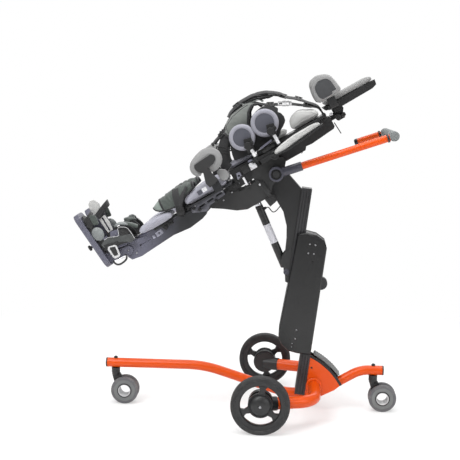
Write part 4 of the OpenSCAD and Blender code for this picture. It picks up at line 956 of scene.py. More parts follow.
spine_points = [(-FRONT_REACH - 30, 0, SPINE_Z), (-215, 0, SPINE_Z), (78, 0, SPINE_LOW_Z),
                (198, 0, SPINE_LOW_Z), (352, 0, SPINE_Z), (REAR_REACH + 32, 0, SPINE_Z)]
spine_path = rounded_path(spine_points, [400, 200, 100, 120])
finish_piece("spine_tube", tube(spine_path, SPINE_R), AXLE, ORANGE, "base", ("base_spine",))

for side in (-1, 1):
    leg_points = [(LEG_START * cos(leg_angle), side * (DRUM_Y - LEG_START * sin(leg_angle)), LEG_Z),
                  (LEG_CORNER_X, side * LEG_CORNER_Y, LEG_Z), (LEG_CORNER_X, side * 27, LEG_Z)]
    leg_tube = tube(rounded_path(leg_points, [80]), LEG_R, (0, 0, 1))
    collar = turned([(21.5, 0), (29, 0), (29, 1.2), (28.2, 2), (29, 2.8), (29, 4.6), (27, 6),
                     (21.5, 6), (21.5, 0)])
    seat = across(LEG_CORNER_X, LEG_Z, side * 30.3 if side < 0 else 36.3)
    finish_piece("leg_tube_" + SIDE_NAME[side], [leg_tube, (collar, seat)],
                 AXLE, ORANGE, "base", ("leg" + CAD_END[side],))

for node in ("hub_l", "hub_r"):
    softened(node, 1.2, WHEEL_GREY, "brake_drum" + node[3:])
softened("spine_caps", 0.8, PLASTIC, "spine_end_caps")
print("base tubes", len(spine_path))

# %% [markdown]
# ## Fairing, pedal and mast
# Two orange cheeks close the foot of the mast. Between them sits the ribbed pedal, with a dark
# seal along the cheeks' curved edge. The mast is a grooved profile in a slim two-part housing.

# %% Fairing, pedal and mast
softened("fairing", 0.7, ORANGE, "fairing_cheeks")
softened("pedal_trim", 0.6, PLASTIC, "fairing_seal")
softened("foot_pedal", 0.35, GREY_PLASTIC, "ribbed_pedal")
softened("mast", 0.6, ANODISED, "mast_profile")
softened("housing", 1.2, GLOSS_BLACK, "housing_covers")
softened("column", 0.6, ANODISED, "sliding_column")

HOUSING_FACE = 44.5
for label, places, y, size, finish in (
        ("housing_screws", [(-44, 608), (-24, 608), (-45, 576), (-25, 576), (-46, 295),
                            (-46, 263)], HOUSING_FACE - 1.4, 3.1, ZINC),
        ("housing_studs", [(-54, 245), (-54, 232)], HOUSING_FACE - 1.4, 1.9, ZINC),
        ("housing_lock", [(-27, 548)], HOUSING_FACE - 1.3, 3.2, PLASTIC),
        ("fairing_rivets", [(29, 163)], 27, 3.4, PLASTIC)):
    heads = [spot for side in (-1, 1) for spot in spots_on_side(MAST, side, places, y)]
    fasteners(label, heads, size, finish, "base")
fasteners("spine_bolts", spots(AXLE, [(x, 0, SPINE_Z + SPINE_R + 4.5)
                                      for x in (-FRONT_REACH, REAR_REACH)], (0, 0, 1)),
          5.5, PLASTIC, "base")
print("mast dressed")

# %% [markdown]
# ## Middle wheels
# A grey moulded rim with three broad spokes that flare into the ring, a domed hub with one screw,
# and a solid tyre with a rounded tread. The spokes are one plate with three openings.

# %% Middle wheels
TYRE_W = 32.0
RIM_TURN = radians(83)


def tyre_profile():
    inner, outer, half = 84.0, 100.0, TYRE_W / 2
    side = [(inner, -13.2), (inner + 1.2, -14), (inner + 5, -15.6), (inner + 5.6, -15.1),
            (inner + 6.4, -15.9), (inner + 9, -half)]
    crown = [(outer - 5 + 5 * sin(radians(a)), -half + 5.5 - 5.5 * cos(radians(a)))
             for a in range(10, 91, 16)]
    low = side + crown
    return low + [(r, -h) for r, h in low[::-1]] + [low[0]]


def spoke_openings():
    """Three openings with rounded corners between the ring and the hub."""
    ring_r, hub_r, spoke_half_mm, flare = 70.5, 40.0, 8.0, 9.0
    out = []
    for k in range(3):
        a0 = RIM_TURN + 2 * pi / 3 * k
        a1 = a0 + 2 * pi / 3
        shape = []
        wide = spoke_half_mm + flare
        mid = (ring_r + hub_r) / 2
        for r, w in ((hub_r, spoke_half_mm + 4), (mid, spoke_half_mm)):
            shape.append((r, a0 + w / r))
        outer_start, outer_end = a0 + wide / ring_r, a1 - wide / ring_r
        for i in range(13):
            shape.append((ring_r, outer_start + (outer_end - outer_start) * i / 12))
        for r, w in ((mid, spoke_half_mm), (hub_r, spoke_half_mm + 4)):
            shape.append((r, a1 - w / r))
        inner_start, inner_end = a1 - (spoke_half_mm + 4) / hub_r, a0 + (spoke_half_mm + 4) / hub_r
        for i in range(1, 6):
            shape.append((hub_r, inner_start + (inner_end - inner_start) * i / 6))
        flat = [(r * cos(a), r * sin(a)) for r, a in shape]
        out.append(rounded_outline(flat, 5, 4))
    return out


for side in (-1, 1):
    axle_seat = AXLE @ outward(0, WHEEL_R, WHEEL_Y, side)
    web = plate(circle_outline(0, 0, 74, 96), spoke_openings(), -6.5, 6.5, 1.6, 3)
    ring = turned([(68.5, -10), (70.5, -12), (83.9, -12), (83.9, 12), (70.5, 12), (68.5, 10),
                   (67.6, 6), (67.6, -6), (68.5, -10)], 96)
    dome = turned([(0, -15), (30, -15), (34, -13), (36, -8), (38.5, 4), (37.5, 9), (34.5, 14.5),
                   (28, 19.5), (19, 23), (9, 24.6), (6.2, 24.4), (5.8, 23.2), (0, 23)], 72)
    lip = turned([(38.5, -5), (42, -6.5), (42, 6.5), (38.5, 5), (38.5, -5)], 72)
    rim = join_meshes([(web, Matrix.Rotation(radians(-90), 4, "X")), ring, dome, lip])
    body = "wheel_" + SIDE_NAME[side]
    finish_piece("rim_" + SIDE_NAME[side], rim, axle_seat, WHEEL_GREY, body,
                 ("rim" + CAD_END[side],))
    finish_piece("tyre_" + SIDE_NAME[side], turned(tyre_profile(), 128), axle_seat, TYRE,
                 body, ("tyre" + CAD_END[side],), angle=radians(50))
    fasteners("hub_screw_" + SIDE_NAME[side],
              spots(axle_seat, [(0, 0, 23.4)], (0, 0, 1)), 4.6, ZINC, body)

# %% [markdown]
# ## Twin casters
# Each caster hangs from a stem on a short swept neck. Its two rings roll on a hollow hub, so that
# one sees right through. The neck is a plate whose outline blends the stem into the hub.

# %% Casters
TRAIL, CASTER_R, RING_Y = 35.0, 50.0, 17.0
for where, x in (("front", -FRONT_REACH), ("rear", REAR_REACH)):
    stem = turned([(0, 0), (11, 0), (15.5, 0.8), (15.5, 10), (14.6, 10.8), (14.6, 12), (15.5, 12.8),
                   (15.5, 19), (14.6, 19.8), (14.2, 26), (11.5, 30), (0, 30)])
    top = SPINE_Z - SPINE_R - 0.3
    neck = plate(rounded_outline([(-15, -18), (14, -18), (26, -38), (52, -46), (68, -66),
                                  (64, -97), (38, -112), (12, -98), (-2, -66)], 9),
                 [circle_outline(TRAIL, CASTER_R - top, 22.7)], -6, 6, 1.6, 3)
    hub = pipe(22.6, 26.3, -26, 26)
    web = pipe(26, 33.4, -6, 6)
    fork = join_meshes([
        (stem, Matrix.Translation((x, 0, top)) @ Matrix.Rotation(pi, 4, "X")),
        (neck, Matrix.Translation((x, 0, top))),
        (hub, across(x + TRAIL, CASTER_R, 0)), (web, across(x + TRAIL, CASTER_R, 0))])
    finish_piece("caster_neck_" + where, fork, AXLE, WHEEL_GREY, "fork_" + where,
                 ("caster_fork_" + where,))
    seats = [across(x + TRAIL, CASTER_R, y) for y in (-RING_Y, RING_Y)]
    rings = [(turned([(26.6, -7.4), (38.4, -7.4), (39.4, -6.2), (39.4, 6.2), (38.4, 7.4),
                      (26.6, 7.4), (26.6, -7.4)], 72), seat) for seat in seats]
    treads = [(turned([(39.2, -8), (44, -8), (47.5, -7), (49.6, -4), (50, 0), (49.6, 4),
                       (47.5, 7), (44, 8), (39.2, 8), (39.2, -8)], 96), seat) for seat in seats]
    finish_piece("caster_rings_" + where, rings, AXLE, GREY_PLASTIC,
                 "rings_" + where, ("caster_wheels_" + where,))
    finish_piece("caster_treads_" + where, treads, AXLE, CASTER_TREAD, "rings_" + where)
    finish_piece("caster_bore_" + where, pipe(20.4, 22.4, -26.4, 26.4),
                 AXLE @ across(x + TRAIL, CASTER_R, 0), PALE_PLASTIC, "fork_" + where)
print("wheels and casters made")

# %% [markdown]
# ## Pivot arm, actuator and push handle
# The arm and its lug are cast and painted. The actuator is a black tube with a blank silver label,
# a ribbed end and a bright coupling where its rod leaves. The handle is an orange tube in a slate
# sleeve, with a foam grip across and a short return tube on the far side.

# %% Pivot arm and actuator
softened("carriage_arm", 1.6, BLACK, "pivot_arm")
softened("tilt_rod", 0.6, STEEL, "actuator_rod")
shell = turned([(0, 17), (11, 17), (13.4, 19), (14, 22), (14, 40), (13.2, 41), (13.2, 43), (14, 44),
                (14, 109), (13.4, 109.6), (13.4, 183.4), (14, 184), (14, 240), (13, 241),
                (13, 243), (14, 244), (14, 253), (13, 255), (7.6, 255), (7.6, 250), (0, 250)], 56)
eye_bar = turned([(5.2, -10), (9, -10), (10, -9), (10, 9), (9, 10), (5.2, 10), (5.2, -10)], 48)
finish_piece("actuator_tube", [
    shell, block(-6, 6, -9.5, 9.5, 6, 20, 1.2), (eye_bar, across(0, 0, 0))],
    ACTUATOR, PLASTIC, "actuator", ("tilt_cylinder",))
finish_piece("actuator_label", turned([(13.42, 111), (13.62, 111.2), (13.62, 182.8), (13.42, 183),
                                       (13.3, 147), (13.42, 111)], 64), ACTUATOR, SILVER_FILM,
             "actuator")
coupling = turned([(7.4, 255.3), (12.6, 255.3), (13, 256), (13, 262), (12.2, 263), (12.2, 265),
                   (13, 266), (13, 274), (11.5, 276), (8.6, 278), (7.4, 278), (7.4, 255.3)], 48)
finish_piece("actuator_coupling", coupling, ACTUATOR, STEEL, "rod")
gland = turned(
    [(2.2, 12), (5.5, 12), (5.5, 17), (4.6, 18), (4.6, 21), (4, 22), (2.2, 22), (2.2, 12)], 32)
finish_piece("cable_gland", gland, ACTUATOR @ along(0, 0, 238), PLASTIC, "actuator")
# The bosses on the black cast lug are given a blue-grey finish: a painted sheen.
finish_piece("lug_bosses", [
    (turned([(0, 0), (11, 0), (11, 2.4), (10, 3.2), (6, 3.2), (5.4, 2.4), (0, 2.4)], 40),
     outward(-111, 495, 24.4, side))
    for side in (-1, 1)], MAST, SLATE_DARK, "carriage")

# %% [markdown]
# The two cables are real round cords along a smooth curve. The low one leaves the actuator's
# gland, ends against the painted arm and bends between the two. The high one leaves the pivot hub.

# %% Cables
CABLE_R = 1.8
cable_runs = {
    "cable_low": [(-2, 0, 730.5), (8, 0, 732), (17, 0, 722), (25, 0, 716), (36, 0, 721),
                  (53, 0, 742)],
    "cable_high": [(59, 0, 856), (68, 0, 852), (76, 0, 839), (86, 0, 812)],
}
for label, points in cable_runs.items():
    path = smooth_path(points, 10)
    run = sum((b - a).length for a, b in zip(path, path[1:])) * MM
    moving = label == "cable_low"
    made = finish_piece(label, tube(path, CABLE_R, (0, 1, 0), 20), AXLE, SOFT_RUBBER,
                        None if moving else "carriage", ("cables",) if moving else ())
    print(label, "length", round(run, 4))
    route = [AXLE @ p for p in path]
    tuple(route[0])
    if moving:
        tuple(route[0])
        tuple(route[-1])
        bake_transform(made)

# %% Push handle
GRIP_AT, GRIP_HALF, GRIP_R = 414.0, 174.0, 17.0
HANDLE_Y, HANDLE_R, SLEEVE_LEN = 160.0, 12.5, 91.0
hub_ring = turned([(18, -15.8), (22, -15.8), (24.4, -15), (25, -13.4), (25, 13.4), (24.4, 15),
                   (22, 15.8), (0, 15.8), (0, 11), (16.4, 11), (18, 9.6), (18, -15.8)], 64)
cup = turned([(0, -9.5), (7, -9.5), (8, -10.5), (12, -10.5), (13, -9.5), (17.9, -9.5), (17.9, -6),
              (0, -6)], 64)
sleeve = turned([(13, 20), (15.5, 20), (15.5, SLEEVE_LEN - 1), (14.9, SLEEVE_LEN),
                 (12.9, SLEEVE_LEN), (13, 20)], 56)
inner_tube = turned([(0, 0), (18, 0), (18, 48), (0, 48)], 48)
finish_piece("handle_sleeve", [
    (hub_ring, across(0, 0, -HANDLE_Y) @ Matrix.Rotation(pi, 4, "X")),
    (sleeve, along(0, -HANDLE_Y, 0)), (inner_tube, across(0, 0, -96.5))],
    HANDLE, SLATE_DARK, "push_handle", ("handle_sleeve",))
finish_piece("handle_hub_cup", cup, HANDLE @ across(0, 0, -HANDLE_Y) @ Matrix.Rotation(pi, 4, "X"),
             PLASTIC, "push_handle")
handle_tubes = [tube([Vector((x, y, 0)), Vector((GRIP_AT - 16, y, 0))], HANDLE_R, sides=48)
                for x, y in ((26, -HANDLE_Y), (GRIP_AT - 112, HANDLE_Y))]
finish_piece("handle_tube", handle_tubes, HANDLE, ORANGE, "push_handle", ("handle_tube",))
finish_piece("handle_cap",
             turned([(0, 0), (7, 0.6), (10.8, 2.6), (12.8, 6), (13, 9), (12.7, 13), (0, 13)], 48),
             HANDLE @ along(GRIP_AT - 118, HANDLE_Y, 0), PLASTIC, "push_handle")
rings = [(turned([(12.6, 0), (14.2, 0), (14.8, 0.8), (14.8, 6.2), (14.2, 7), (12.6, 7), (12.6, 0)],
                 48), along(GRIP_AT - 25, y, 0)) for y in (-HANDLE_Y, HANDLE_Y)]
finish_piece("handle_rings", rings, HANDLE, PLASTIC, "push_handle")
grip = turned([(0, -GRIP_HALF), (12, -GRIP_HALF), (15.5, 1.2 - GRIP_HALF), (16.8, 4 - GRIP_HALF),
               (GRIP_R, 8 - GRIP_HALF), (GRIP_R, GRIP_HALF - 8), (16.8, GRIP_HALF - 4),
               (15.5, GRIP_HALF - 1.2), (12, GRIP_HALF), (0, GRIP_HALF)], 64)
finish_piece("handle_grip", grip, HANDLE @ across(GRIP_AT, 0, 0), GRIP_FOAM, "push_handle",
             ("handle_grip",))
print("carriage dressed")

# %% [markdown]
# ## Hard parts of the body support
# Side plates, boards, rails and brackets keep the solid model's shape with eased edges. On them sit
# the small parts that make such a support look adjustable: posts, clamp blocks, hand knobs, screws.

# %% Boards, plates and rails
softened("seat_frame", 0.8, BLACK, "seat_frame_eased")
softened("back_board", 1.2, BLACK, "back_board_eased")
softened("headrest_plate", 0.9, PLASTIC, "head_board_eased")
for side in (-1, 1):
    end = CAD_END[side]
    softened("side_plate" + end, 1.0, CHARCOAL)
    softened("hip_plate" + end, 1.3, CHARCOAL)
    softened("lateral_arms" + end, 0.8, PLASTIC)
    softened("leg_rail" + end, 0.9, RAIL)
    softened("foot_plate" + end, 1.6, SLATE)


def lobed_knob(r, h, lobes=7, dip=0.1):
    """Hand knob with scallops round its rim, standing along local z."""
    around = [2 * pi * i / (lobes * 8) for i in range(lobes * 8)]
    rings = []
    for scale, z in ((0.5, 0), (0.55, h * 0.28), (0.9, h * 0.36), (1.0, h * 0.48), (1.0, h * 0.8),
                     (0.9, h * 0.95), (0.7, h), (0.35, h * 0.96)):
        rim = [(a, r * scale * (1 - dip * (0.5 + 0.5 * cos(lobes * a)) * (scale > 0.6)))
               for a in around]
        rings.append([(q * cos(a), q * sin(a), z) for a, q in rim])
    return skinned(rings)


# %% [markdown]
# The trunk supports stand on bright steel posts, whose glare is painted white. Each post ends in a
# black clamp with a hand knob, and a second, lower row of blocks and clips sits along the seat's
# side.

# %% Posts, clamps and knobs
LATERALS = ((-51.0, 185.0, 45.0), (39.5, 191.0, 47.7))
POST_Y = 155.3
for side in (-1, 1):
    body = "side_support_" + SIDE_NAME[side]
    tag = "_" + SIDE_NAME[side]
    bright, dark = [], []
    for s, n, r in LATERALS:
        foot, top = 100.6, n - 48
        bright.append((post(5.9, top - foot), upright(s + 9, foot, side * POST_Y)))
        dark.append(
            (block(s + 1, s + 17, -8, 8, foot - 1, foot + 7, 1.2), upright(0, 0, side * POST_Y)))
        dark.append(
            (block(s - 4, s + 20, -9, 9, top - 2, top + 17, 2.0), upright(0, 0, side * POST_Y)))
        dark.append((lobed_knob(14, 15), outward(s + 5, n - 34, 163, side)))
        dark.append((post(4, 14), outward(s + 22, n - 31, 148.5, side)))
        dark.append((lobed_knob(7, 8, 6), outward(s + 22, n - 31, 161, side)))
    dark.append((block(-13, 33, -5, 5, 104, 114, 1.4), upright(0, 0, side * 157)))
    finish_piece("trunk_posts" + tag, bright, BODY, GLARE_WHITE, body)
    finish_piece("trunk_clamps" + tag, dark, BODY, PLASTIC, body)
    bar = cut_out([(-14, 118.5), (34, 126), (33, 133), (-15, 125.5)], -4, 4, 1.4)
    finish_piece("trunk_bar" + tag,
                 [(bar, upright(0, 0, side * 157)),
                  (cut_out([(-87, 100.6), (-70, 100.6), (-72, 107), (-85, 108)], -4, 4, 1),
                   upright(14, 0, side * 157))], BODY, SLATE, body)

    low = [(block(-109, -81, 93.6, 105, 71, 98, 1.6), None),
           (block(-106, -84, 104, 107, 75, 94, 1.0), None),
           (block(-126, -110, 93.4, 101, 62, 70, 1.2), None),
           (block(-128, -108, 93.4, 102, 24, 33, 1.2), None),
           (lobed_knob(13, 12), outward(0, 98, 97, side)),
           (block(-165, -148, 93.4, 98, 46, 54, 1.0), None), (post(3, 15), upright(-150, 40, 96)),
           (post(2.4, 30), upright(-141, 40, 96.5)), (block(-58, -28, 93.4, 99, 86, 96, 1.2), None)]
    mirrored = Matrix.Scale(-1 if side < 0 else 1, 4, (0, 1, 0))
    placed = []
    for bm, m in low:
        if m is None:
            placed.append((bm, mirrored))
        elif m.translation.y * side < 0:
            placed.append((bm, mirrored @ m))
        else:
            placed.append((bm, m))
    placed.append((block(-12, 12, 88, 98, 90, 106, 1.4), mirrored))
    finish_piece("seat_side_clamps" + tag, placed, BODY, PLASTIC, "support")
    finish_piece("seat_side_post" + tag,
                 [(post(4.2, 30), upright(-117, 33, side * 97.6)),
                  (turned([(0, 0), (8.4, 0), (8.8, 1), (8.8, 6), (7.4, 7.6), (0, 7.6)], 32),
                   outward(-73, 86, 94, side)),
                  (turned([(0, 0), (7.4, 0), (7.8, 1), (7.8, 8), (6.4, 9.6), (0, 9.6)], 32),
                   outward(-63, 78, 94, side)),
                  (block(-82, -56, 0, 4, 70, 92, 1.0),
                   upright(0, 0, side * 93 - (0 if side > 0 else 4)))], BODY, GLARE_WHITE, "support")
    finish_piece("seat_side_bracket" + tag, [
        (plate([(-137, 66), (-118, 66), (-118, 86), (-132, 86)], [circle_outline(-127, 75, 4, 16)],
               0, 3.5, 0.8), upright(0, 0, side * 93.2 - (0 if side > 0 else 3.5)))],
        BODY, SILVER, "support")
    fasteners("plate_screw" + tag, spots_on_side(BODY, side, [(-78, 13)], 99.3), 3.6, GLARE_WHITE,
              "support")
    rivets = [(-160, 78), (-135, 66), (-140, 52), (-176, 36), (-215, 26)]
    fasteners("plate_rivets" + tag, spots_on_side(BODY, side, rivets, 93.2), 3.2, ZINC, "support")
    finish_piece(
        "stop_face" + tag,
        prism([(-78, 25), (-63, 18), (-57, -26), (-66, -36), (-76, -16)], 3, -0.9, 0.9, 0.5),
        BODY @ upright(0, 0, side * 100), BLACK, "support")
    finish_piece(
        "stop_bumper" + tag,
        prism([(-85, -43), (-57, -43), (-55, -60), (-62, -67), (-82, -67)], 4, -3, 3, 1.4),
        BODY @ upright(0, 0, side * 101.5), SOFT_RUBBER, "support")

# %% [markdown]
# The thigh plate's slotted bracket is dull metal, and carries small knobs below. A stepped black
# bracket holds the calf pad above the slate rail.

# %% Leg brackets
BRACKET = [(-330, 40), (-282, 20), (-262, 34), (-198, 42), (-197, 63), (-318, 63.5), (-330, 50)]
bracket_slots = [(-287, 46.5), (-253, 49.5), (-217, 52.5)]
for side in (-1, 1):
    tag = "_" + SIDE_NAME[side]
    body = "leg" + tag
    lean = atan2(3, 34)
    face = plate(rounded_outline(BRACKET, 4),
                 [slot_outline(x, z, 18, 3.2, lean) for x, z in bracket_slots], -0.8, 0.8, 0.5)
    finish_piece("slotted_bracket" + tag, face, BODY @ upright(0, 0, side * 109.1), DULL, body)
    knobs = [(lobed_knob(6, 8, 6), outward(s, n, 109.5, side)) for s, n in
             ((-318, 51), (-302, 38), (-236, 38))]
    knobs += [(block(-476, -404, -18, 18, 49, 57, 1.4), upright(0, 0, side * 95)),
              (block(-446, -404, -19, 19, 40, 50, 1.4), upright(0, 0, side * 95)),
              (lobed_knob(8, 9, 6), outward(-436, 40, 111, side)),
              (lobed_knob(6, 8, 6), outward(-418, 46, 111, side)),
              (block(-340, -322, -15, 15, 60, 74, 1.4), upright(0, 0, side * 95))]
    finish_piece("leg_knobs" + tag, knobs, BODY, PLASTIC, body)
    finish_piece("rail_clip" + tag, [
        (plate(rounded_outline([(-478, 24), (-452, 28), (-454, 45), (-480, 41)], 2),
               [circle_outline(-466, 35, 4, 16)], -0.9, 0.9, 0.5), upright(0, 0, side * 108.9)),
        (block(-494, -484, -1, 1, 26, 38, 0.5), upright(0, 0, side * 108.9))], BODY, SILVER, body)
    fasteners("leg_screws" + tag, spots(BODY, [(-310, side * 110, 57), (-203, side * 110, 57),
                                              (-571, side * 108.2, 12), (-590, side * 117.2, 34)],
                                        (0, side, 0)), 3.4, ZINC, body)

# %% [markdown]
# Behind the head pad sits a ribbed clamp block with a large two-lobed knob, a bright pin and
# a thin locking rod. Cap screws hold the boards from behind.

# %% Head clamp
clamp_parts = []
for side in (-1, 1):
    clamp_parts += [(block(266, 294, 38, 46, 100, 139, 1.6), Matrix.Scale(side, 4, (0, 1, 0)))]
    for s in (268.5, 274, 279.5, 285, 290.5):
        clamp_parts.append((block(s - 1.2, s + 1.2, 45, 47.4, 103, 137, 0.4),
                            Matrix.Scale(side, 4, (0, 1, 0))))
clamp_parts += [(lobed_knob(13, 20, 2, 0.25), outward(268, 85, 40, -1)),
                (lobed_knob(9, 18, 6), outward(288, 84, 39, -1))]
finish_piece("head_clamp", clamp_parts, BODY, PLASTIC, "head")
finish_piece("head_clamp_pin", [
    (post(3.2, 10), outward(252, 104, 38.3, -1)),
    block(247, 257, -48, -44, 100, 110, 1.0)], BODY, GLARE_WHITE, "head")
finish_piece("head_lock_rod", tube([Vector((248, -30, 74)), Vector((249.5, -30, 50)),
                                    Vector((251, -30, 29))], 1.7, (0, 1, 0), 16),
             BODY, PLASTIC, "head")
board_screws = spots(BODY, [(s, y, 36.6) for s in (30, 100) for y in (-40, 40)], (0, 0, -1))
fasteners("box_screws", board_screws, 4.0, ZINC, "support")
print("support dressed")

# %% [markdown]
# ## Sewn cushions
# A cushion starts as its side outline with some width, a little smaller than it will be. It is
# remeshed into even squares and blown up as cloth, so that its faces crown and its sides pull in
# between the corners. The move of each point is capped, and the face on the board stays flat.

# %% Cushion maker
VOXEL = 5.0
CLOTH_FRAMES = 20
SEAM_LIFT, STITCH_EVERY = 0.2, 4.2
scene = bpy.context.scene


def blown_up(start, cap, hold=None, pressure=4.0, settle=4):
    """Inflates a closed bmesh (mm) and returns a mesh (mm); hold(co) gives the allowed place."""
    mesh = as_mesh(start, "cushion_start")
    mesh.transform(Matrix.Scale(MM, 4))
    obj = new_object("cushion_start", mesh)
    squares = obj.modifiers.new("squares", "REMESH")
    squares.mode, squares.voxel_size = "VOXEL", VOXEL * MM
    even = obj.modifiers.new("even", "SMOOTH")
    even.factor, even.iterations = 0.5, 5
    bpy.context.view_layer.update()
    obj.data = evaluated_mesh(obj)
    obj.modifiers.clear()
    rest = [v.co.copy() for v in obj.data.vertices]
    cloth = obj.modifiers.new("cloth", "CLOTH")
    cloth.settings.quality = 5
    cloth.settings.use_pressure = True
    cloth.settings.uniform_pressure_force = pressure
    cloth.settings.effector_weights.gravity = 0
    cloth.settings.tension_stiffness = cloth.settings.compression_stiffness = 12
    cloth.settings.bending_stiffness = 0.6
    for frame_number in range(1, CLOTH_FRAMES + 1):
        scene.frame_set(frame_number)
    swollen = evaluated_mesh(obj)
    scene.frame_set(1)
    obj.modifiers.clear()
    for v, was, now in zip(obj.data.vertices, rest, swollen.vertices):
        step = now.co - was
        v.co = was + step * min(1.0, cap * MM / max(step.length, 1e-9))
    bpy.data.meshes.remove(swollen)
    rest_again = obj.modifiers.new("settled", "SMOOTH")
    rest_again.factor, rest_again.iterations = 0.5, settle
    finer = obj.modifiers.new("finer", "SUBSURF")
    finer.levels = finer.render_levels = 1
    ready = evaluated_mesh(obj)
    bpy.data.objects.remove(obj)
    ready.transform(Matrix.Scale(1 / MM, 4))
    if hold:
        for v in ready.vertices:
            v.co = hold(v.co)
    ready.update()
    return ready


def mirrored(mesh):
    copy = mesh.copy()
    copy.transform(Matrix.Scale(-1, 4, (0, 1, 0)))
    copy.flip_normals()
    return copy


def tree_of(mesh):
    return BVHTree.FromPolygons([v.co.copy() for v in mesh.vertices],
                                [tuple(p.vertices) for p in mesh.polygons])


def middle_of(outline):
    return (sum(x for x, _ in outline) / len(outline), sum(z for _, z in outline) / len(outline))


def grown(outline, d):
    """Outline moved outwards by d from its middle, roughly even."""
    cx, cz = middle_of(outline)
    return [(x + (x - cx) / hypot(x - cx, z - cz) * d, z + (z - cz) / hypot(x - cx, z - cz) * d)
            for x, z in outline]


def smooth_outline(points, steps=6):
    """Closed smooth curve through (x, z) points."""
    p = [Vector(q) for q in points]
    return [tuple(q) for four in zip(p[-1:] + p[:-1], p, p[1:] + p[:1], p[2:] + p[:2])
            for q in curve_between(*four, steps)]


def girth(tree, outline, y):
    """Seam round the cushion at y: rays come in from outside towards the outline's middle."""
    cx, cz = middle_of(outline)
    path = []
    for x, z in outline:
        way = Vector((x - cx, 0, z - cz)).normalized()
        hit = tree.ray_cast(Vector((cx, y, cz)) + way * 400, -way)
        if hit[0] is not None:
            path.append(hit[0] + hit[1] * SEAM_LIFT)
    return path


def belts(mesh, outline, shares):
    """Seam paths round a cushion, at shares of its width."""
    tree = tree_of(mesh)
    ys = [v.co.y for v in mesh.vertices]
    low, high = min(ys), max(ys)
    return [girth(tree, smooth_outline(outline, 5), low + (high - low) * share) for share in shares]


# %% [markdown]
# ## Piping and stitches, by Geometry Nodes
# A seam is a thin welt along a path laid on the cloth. A row of stitches is the same path with
# a short thread on every few millimetres, turned along it. One tree makes both in one pass, and
# it ends in Realize Instances and Set Material.

# %% Seam tree
def seam_tree():
    tree = make_tree("welt_and_stitches", [
        ("Radius", "NodeSocketFloat", 0.001), ("Spacing", "NodeSocketFloat", 0.004),
        ("Thread", "NodeSocketObject", None), ("Welt finish", "NodeSocketMaterial", None),
        ("Stitch finish", "NodeSocketMaterial", None)])
    start, end = add(tree, "NodeGroupInput"), add(tree, "NodeGroupOutput")
    curve = add(tree, "GeometryNodeMeshToCurve", Mesh=start.outputs["Geometry"])
    ring = add(tree, "GeometryNodeCurvePrimitiveCircle", Resolution=8)
    tree.links.new(start.outputs["Radius"], ring.inputs["Radius"])
    welt = add(tree, "GeometryNodeCurveToMesh", Curve=curve.outputs[0],
               Profile_Curve=ring.outputs[0], Fill_Caps=True)
    welt_dressed = add(tree, "GeometryNodeSetMaterial", Geometry=welt.outputs[0],
                       Material=start.outputs["Welt finish"])
    even = add(tree, "GeometryNodeResampleCurve", {"mode": "LENGTH"}, Curve=curve.outputs[0],
               Length=start.outputs["Spacing"])
    run = add(tree, "GeometryNodeInputTangent")
    turn = add(tree, "FunctionNodeAlignRotationToVector", {"axis": "X"}, Vector=run.outputs[0])
    thread = add(tree, "GeometryNodeObjectInfo", Object=start.outputs["Thread"])
    placed = add(tree, "GeometryNodeInstanceOnPoints", Points=even.outputs[0],
                 Instance=thread.outputs["Geometry"], Rotation=turn.outputs["Rotation"])
    real = add(tree, "GeometryNodeRealizeInstances", Geometry=placed.outputs[0])
    real_dressed = add(tree, "GeometryNodeSetMaterial", Geometry=real.outputs[0],
                       Material=start.outputs["Stitch finish"])
    both = add(tree, "GeometryNodeJoinGeometry")
    tree.links.new(welt_dressed.outputs[0], both.inputs[0])
    tree.links.new(real_dressed.outputs[0], both.inputs[0])
    tree.links.new(both.outputs[0], end.inputs[0])
    return tree


SEAM = seam_tree()


def small_thread(length, r):
    """One stitch, lying along x, in metres."""
    bm = turned([(0, -length / 2), (r, -length * 0.35), (r, length * 0.35), (0, length / 2)], 6)
    mesh = as_mesh(bm, "stitch")
    mesh.transform(Matrix.Rotation(radians(90), 4, "Y") @ Matrix.Scale(MM, 4))
    return bpy.data.objects.new("stitch", mesh)


STITCH = small_thread(2.6, 0.42)


def seams(name, paths, matrix, body, welt, r=1.0, closed=True):
    """Welts with stitches along local paths (mm), as one piece."""
    mesh = bpy.data.meshes.new(name)
    points, edges = [], []
    for path in paths:
        if len(path) < 3:
            raise ValueError(name + " has an empty seam")
        first = len(points)
        points += [matrix @ Vector(p) for p in path]
        edges += [(first + i, first + i + 1) for i in range(len(path) - 1)]
        if closed:
            edges.append((len(points) - 1, first))
    mesh.from_pydata(points, edges, [])
    line = new_object(name + "_line", mesh)
    sew = line.modifiers.new("seam", "NODES")
    sew.node_group = SEAM
    for label, value in (("Radius", r * MM), ("Spacing", STITCH_EVERY * MM), ("Thread", STITCH),
                         ("Welt finish", welt), ("Stitch finish", THREAD)):
        sew[socket_id(SEAM, label)] = value
    solid = evaluated_mesh(line)
    bpy.data.objects.remove(line)
    for p in solid.polygons:
        p.use_smooth = True
    solid.name = name
    obj = new_object(name, solid)
    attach(obj, body)


# %% [markdown]
# ## The cushions
# Every cushion is drawn by the outline that the picture shows from the side. One side's cushions
# are made, and the other side's are their mirror images.

# %% Cushions
def cushion(name, mesh, finish, body, replaced):
    obj = finish_piece(name, mesh, BODY, finish, body, replaced, angle=radians(80))


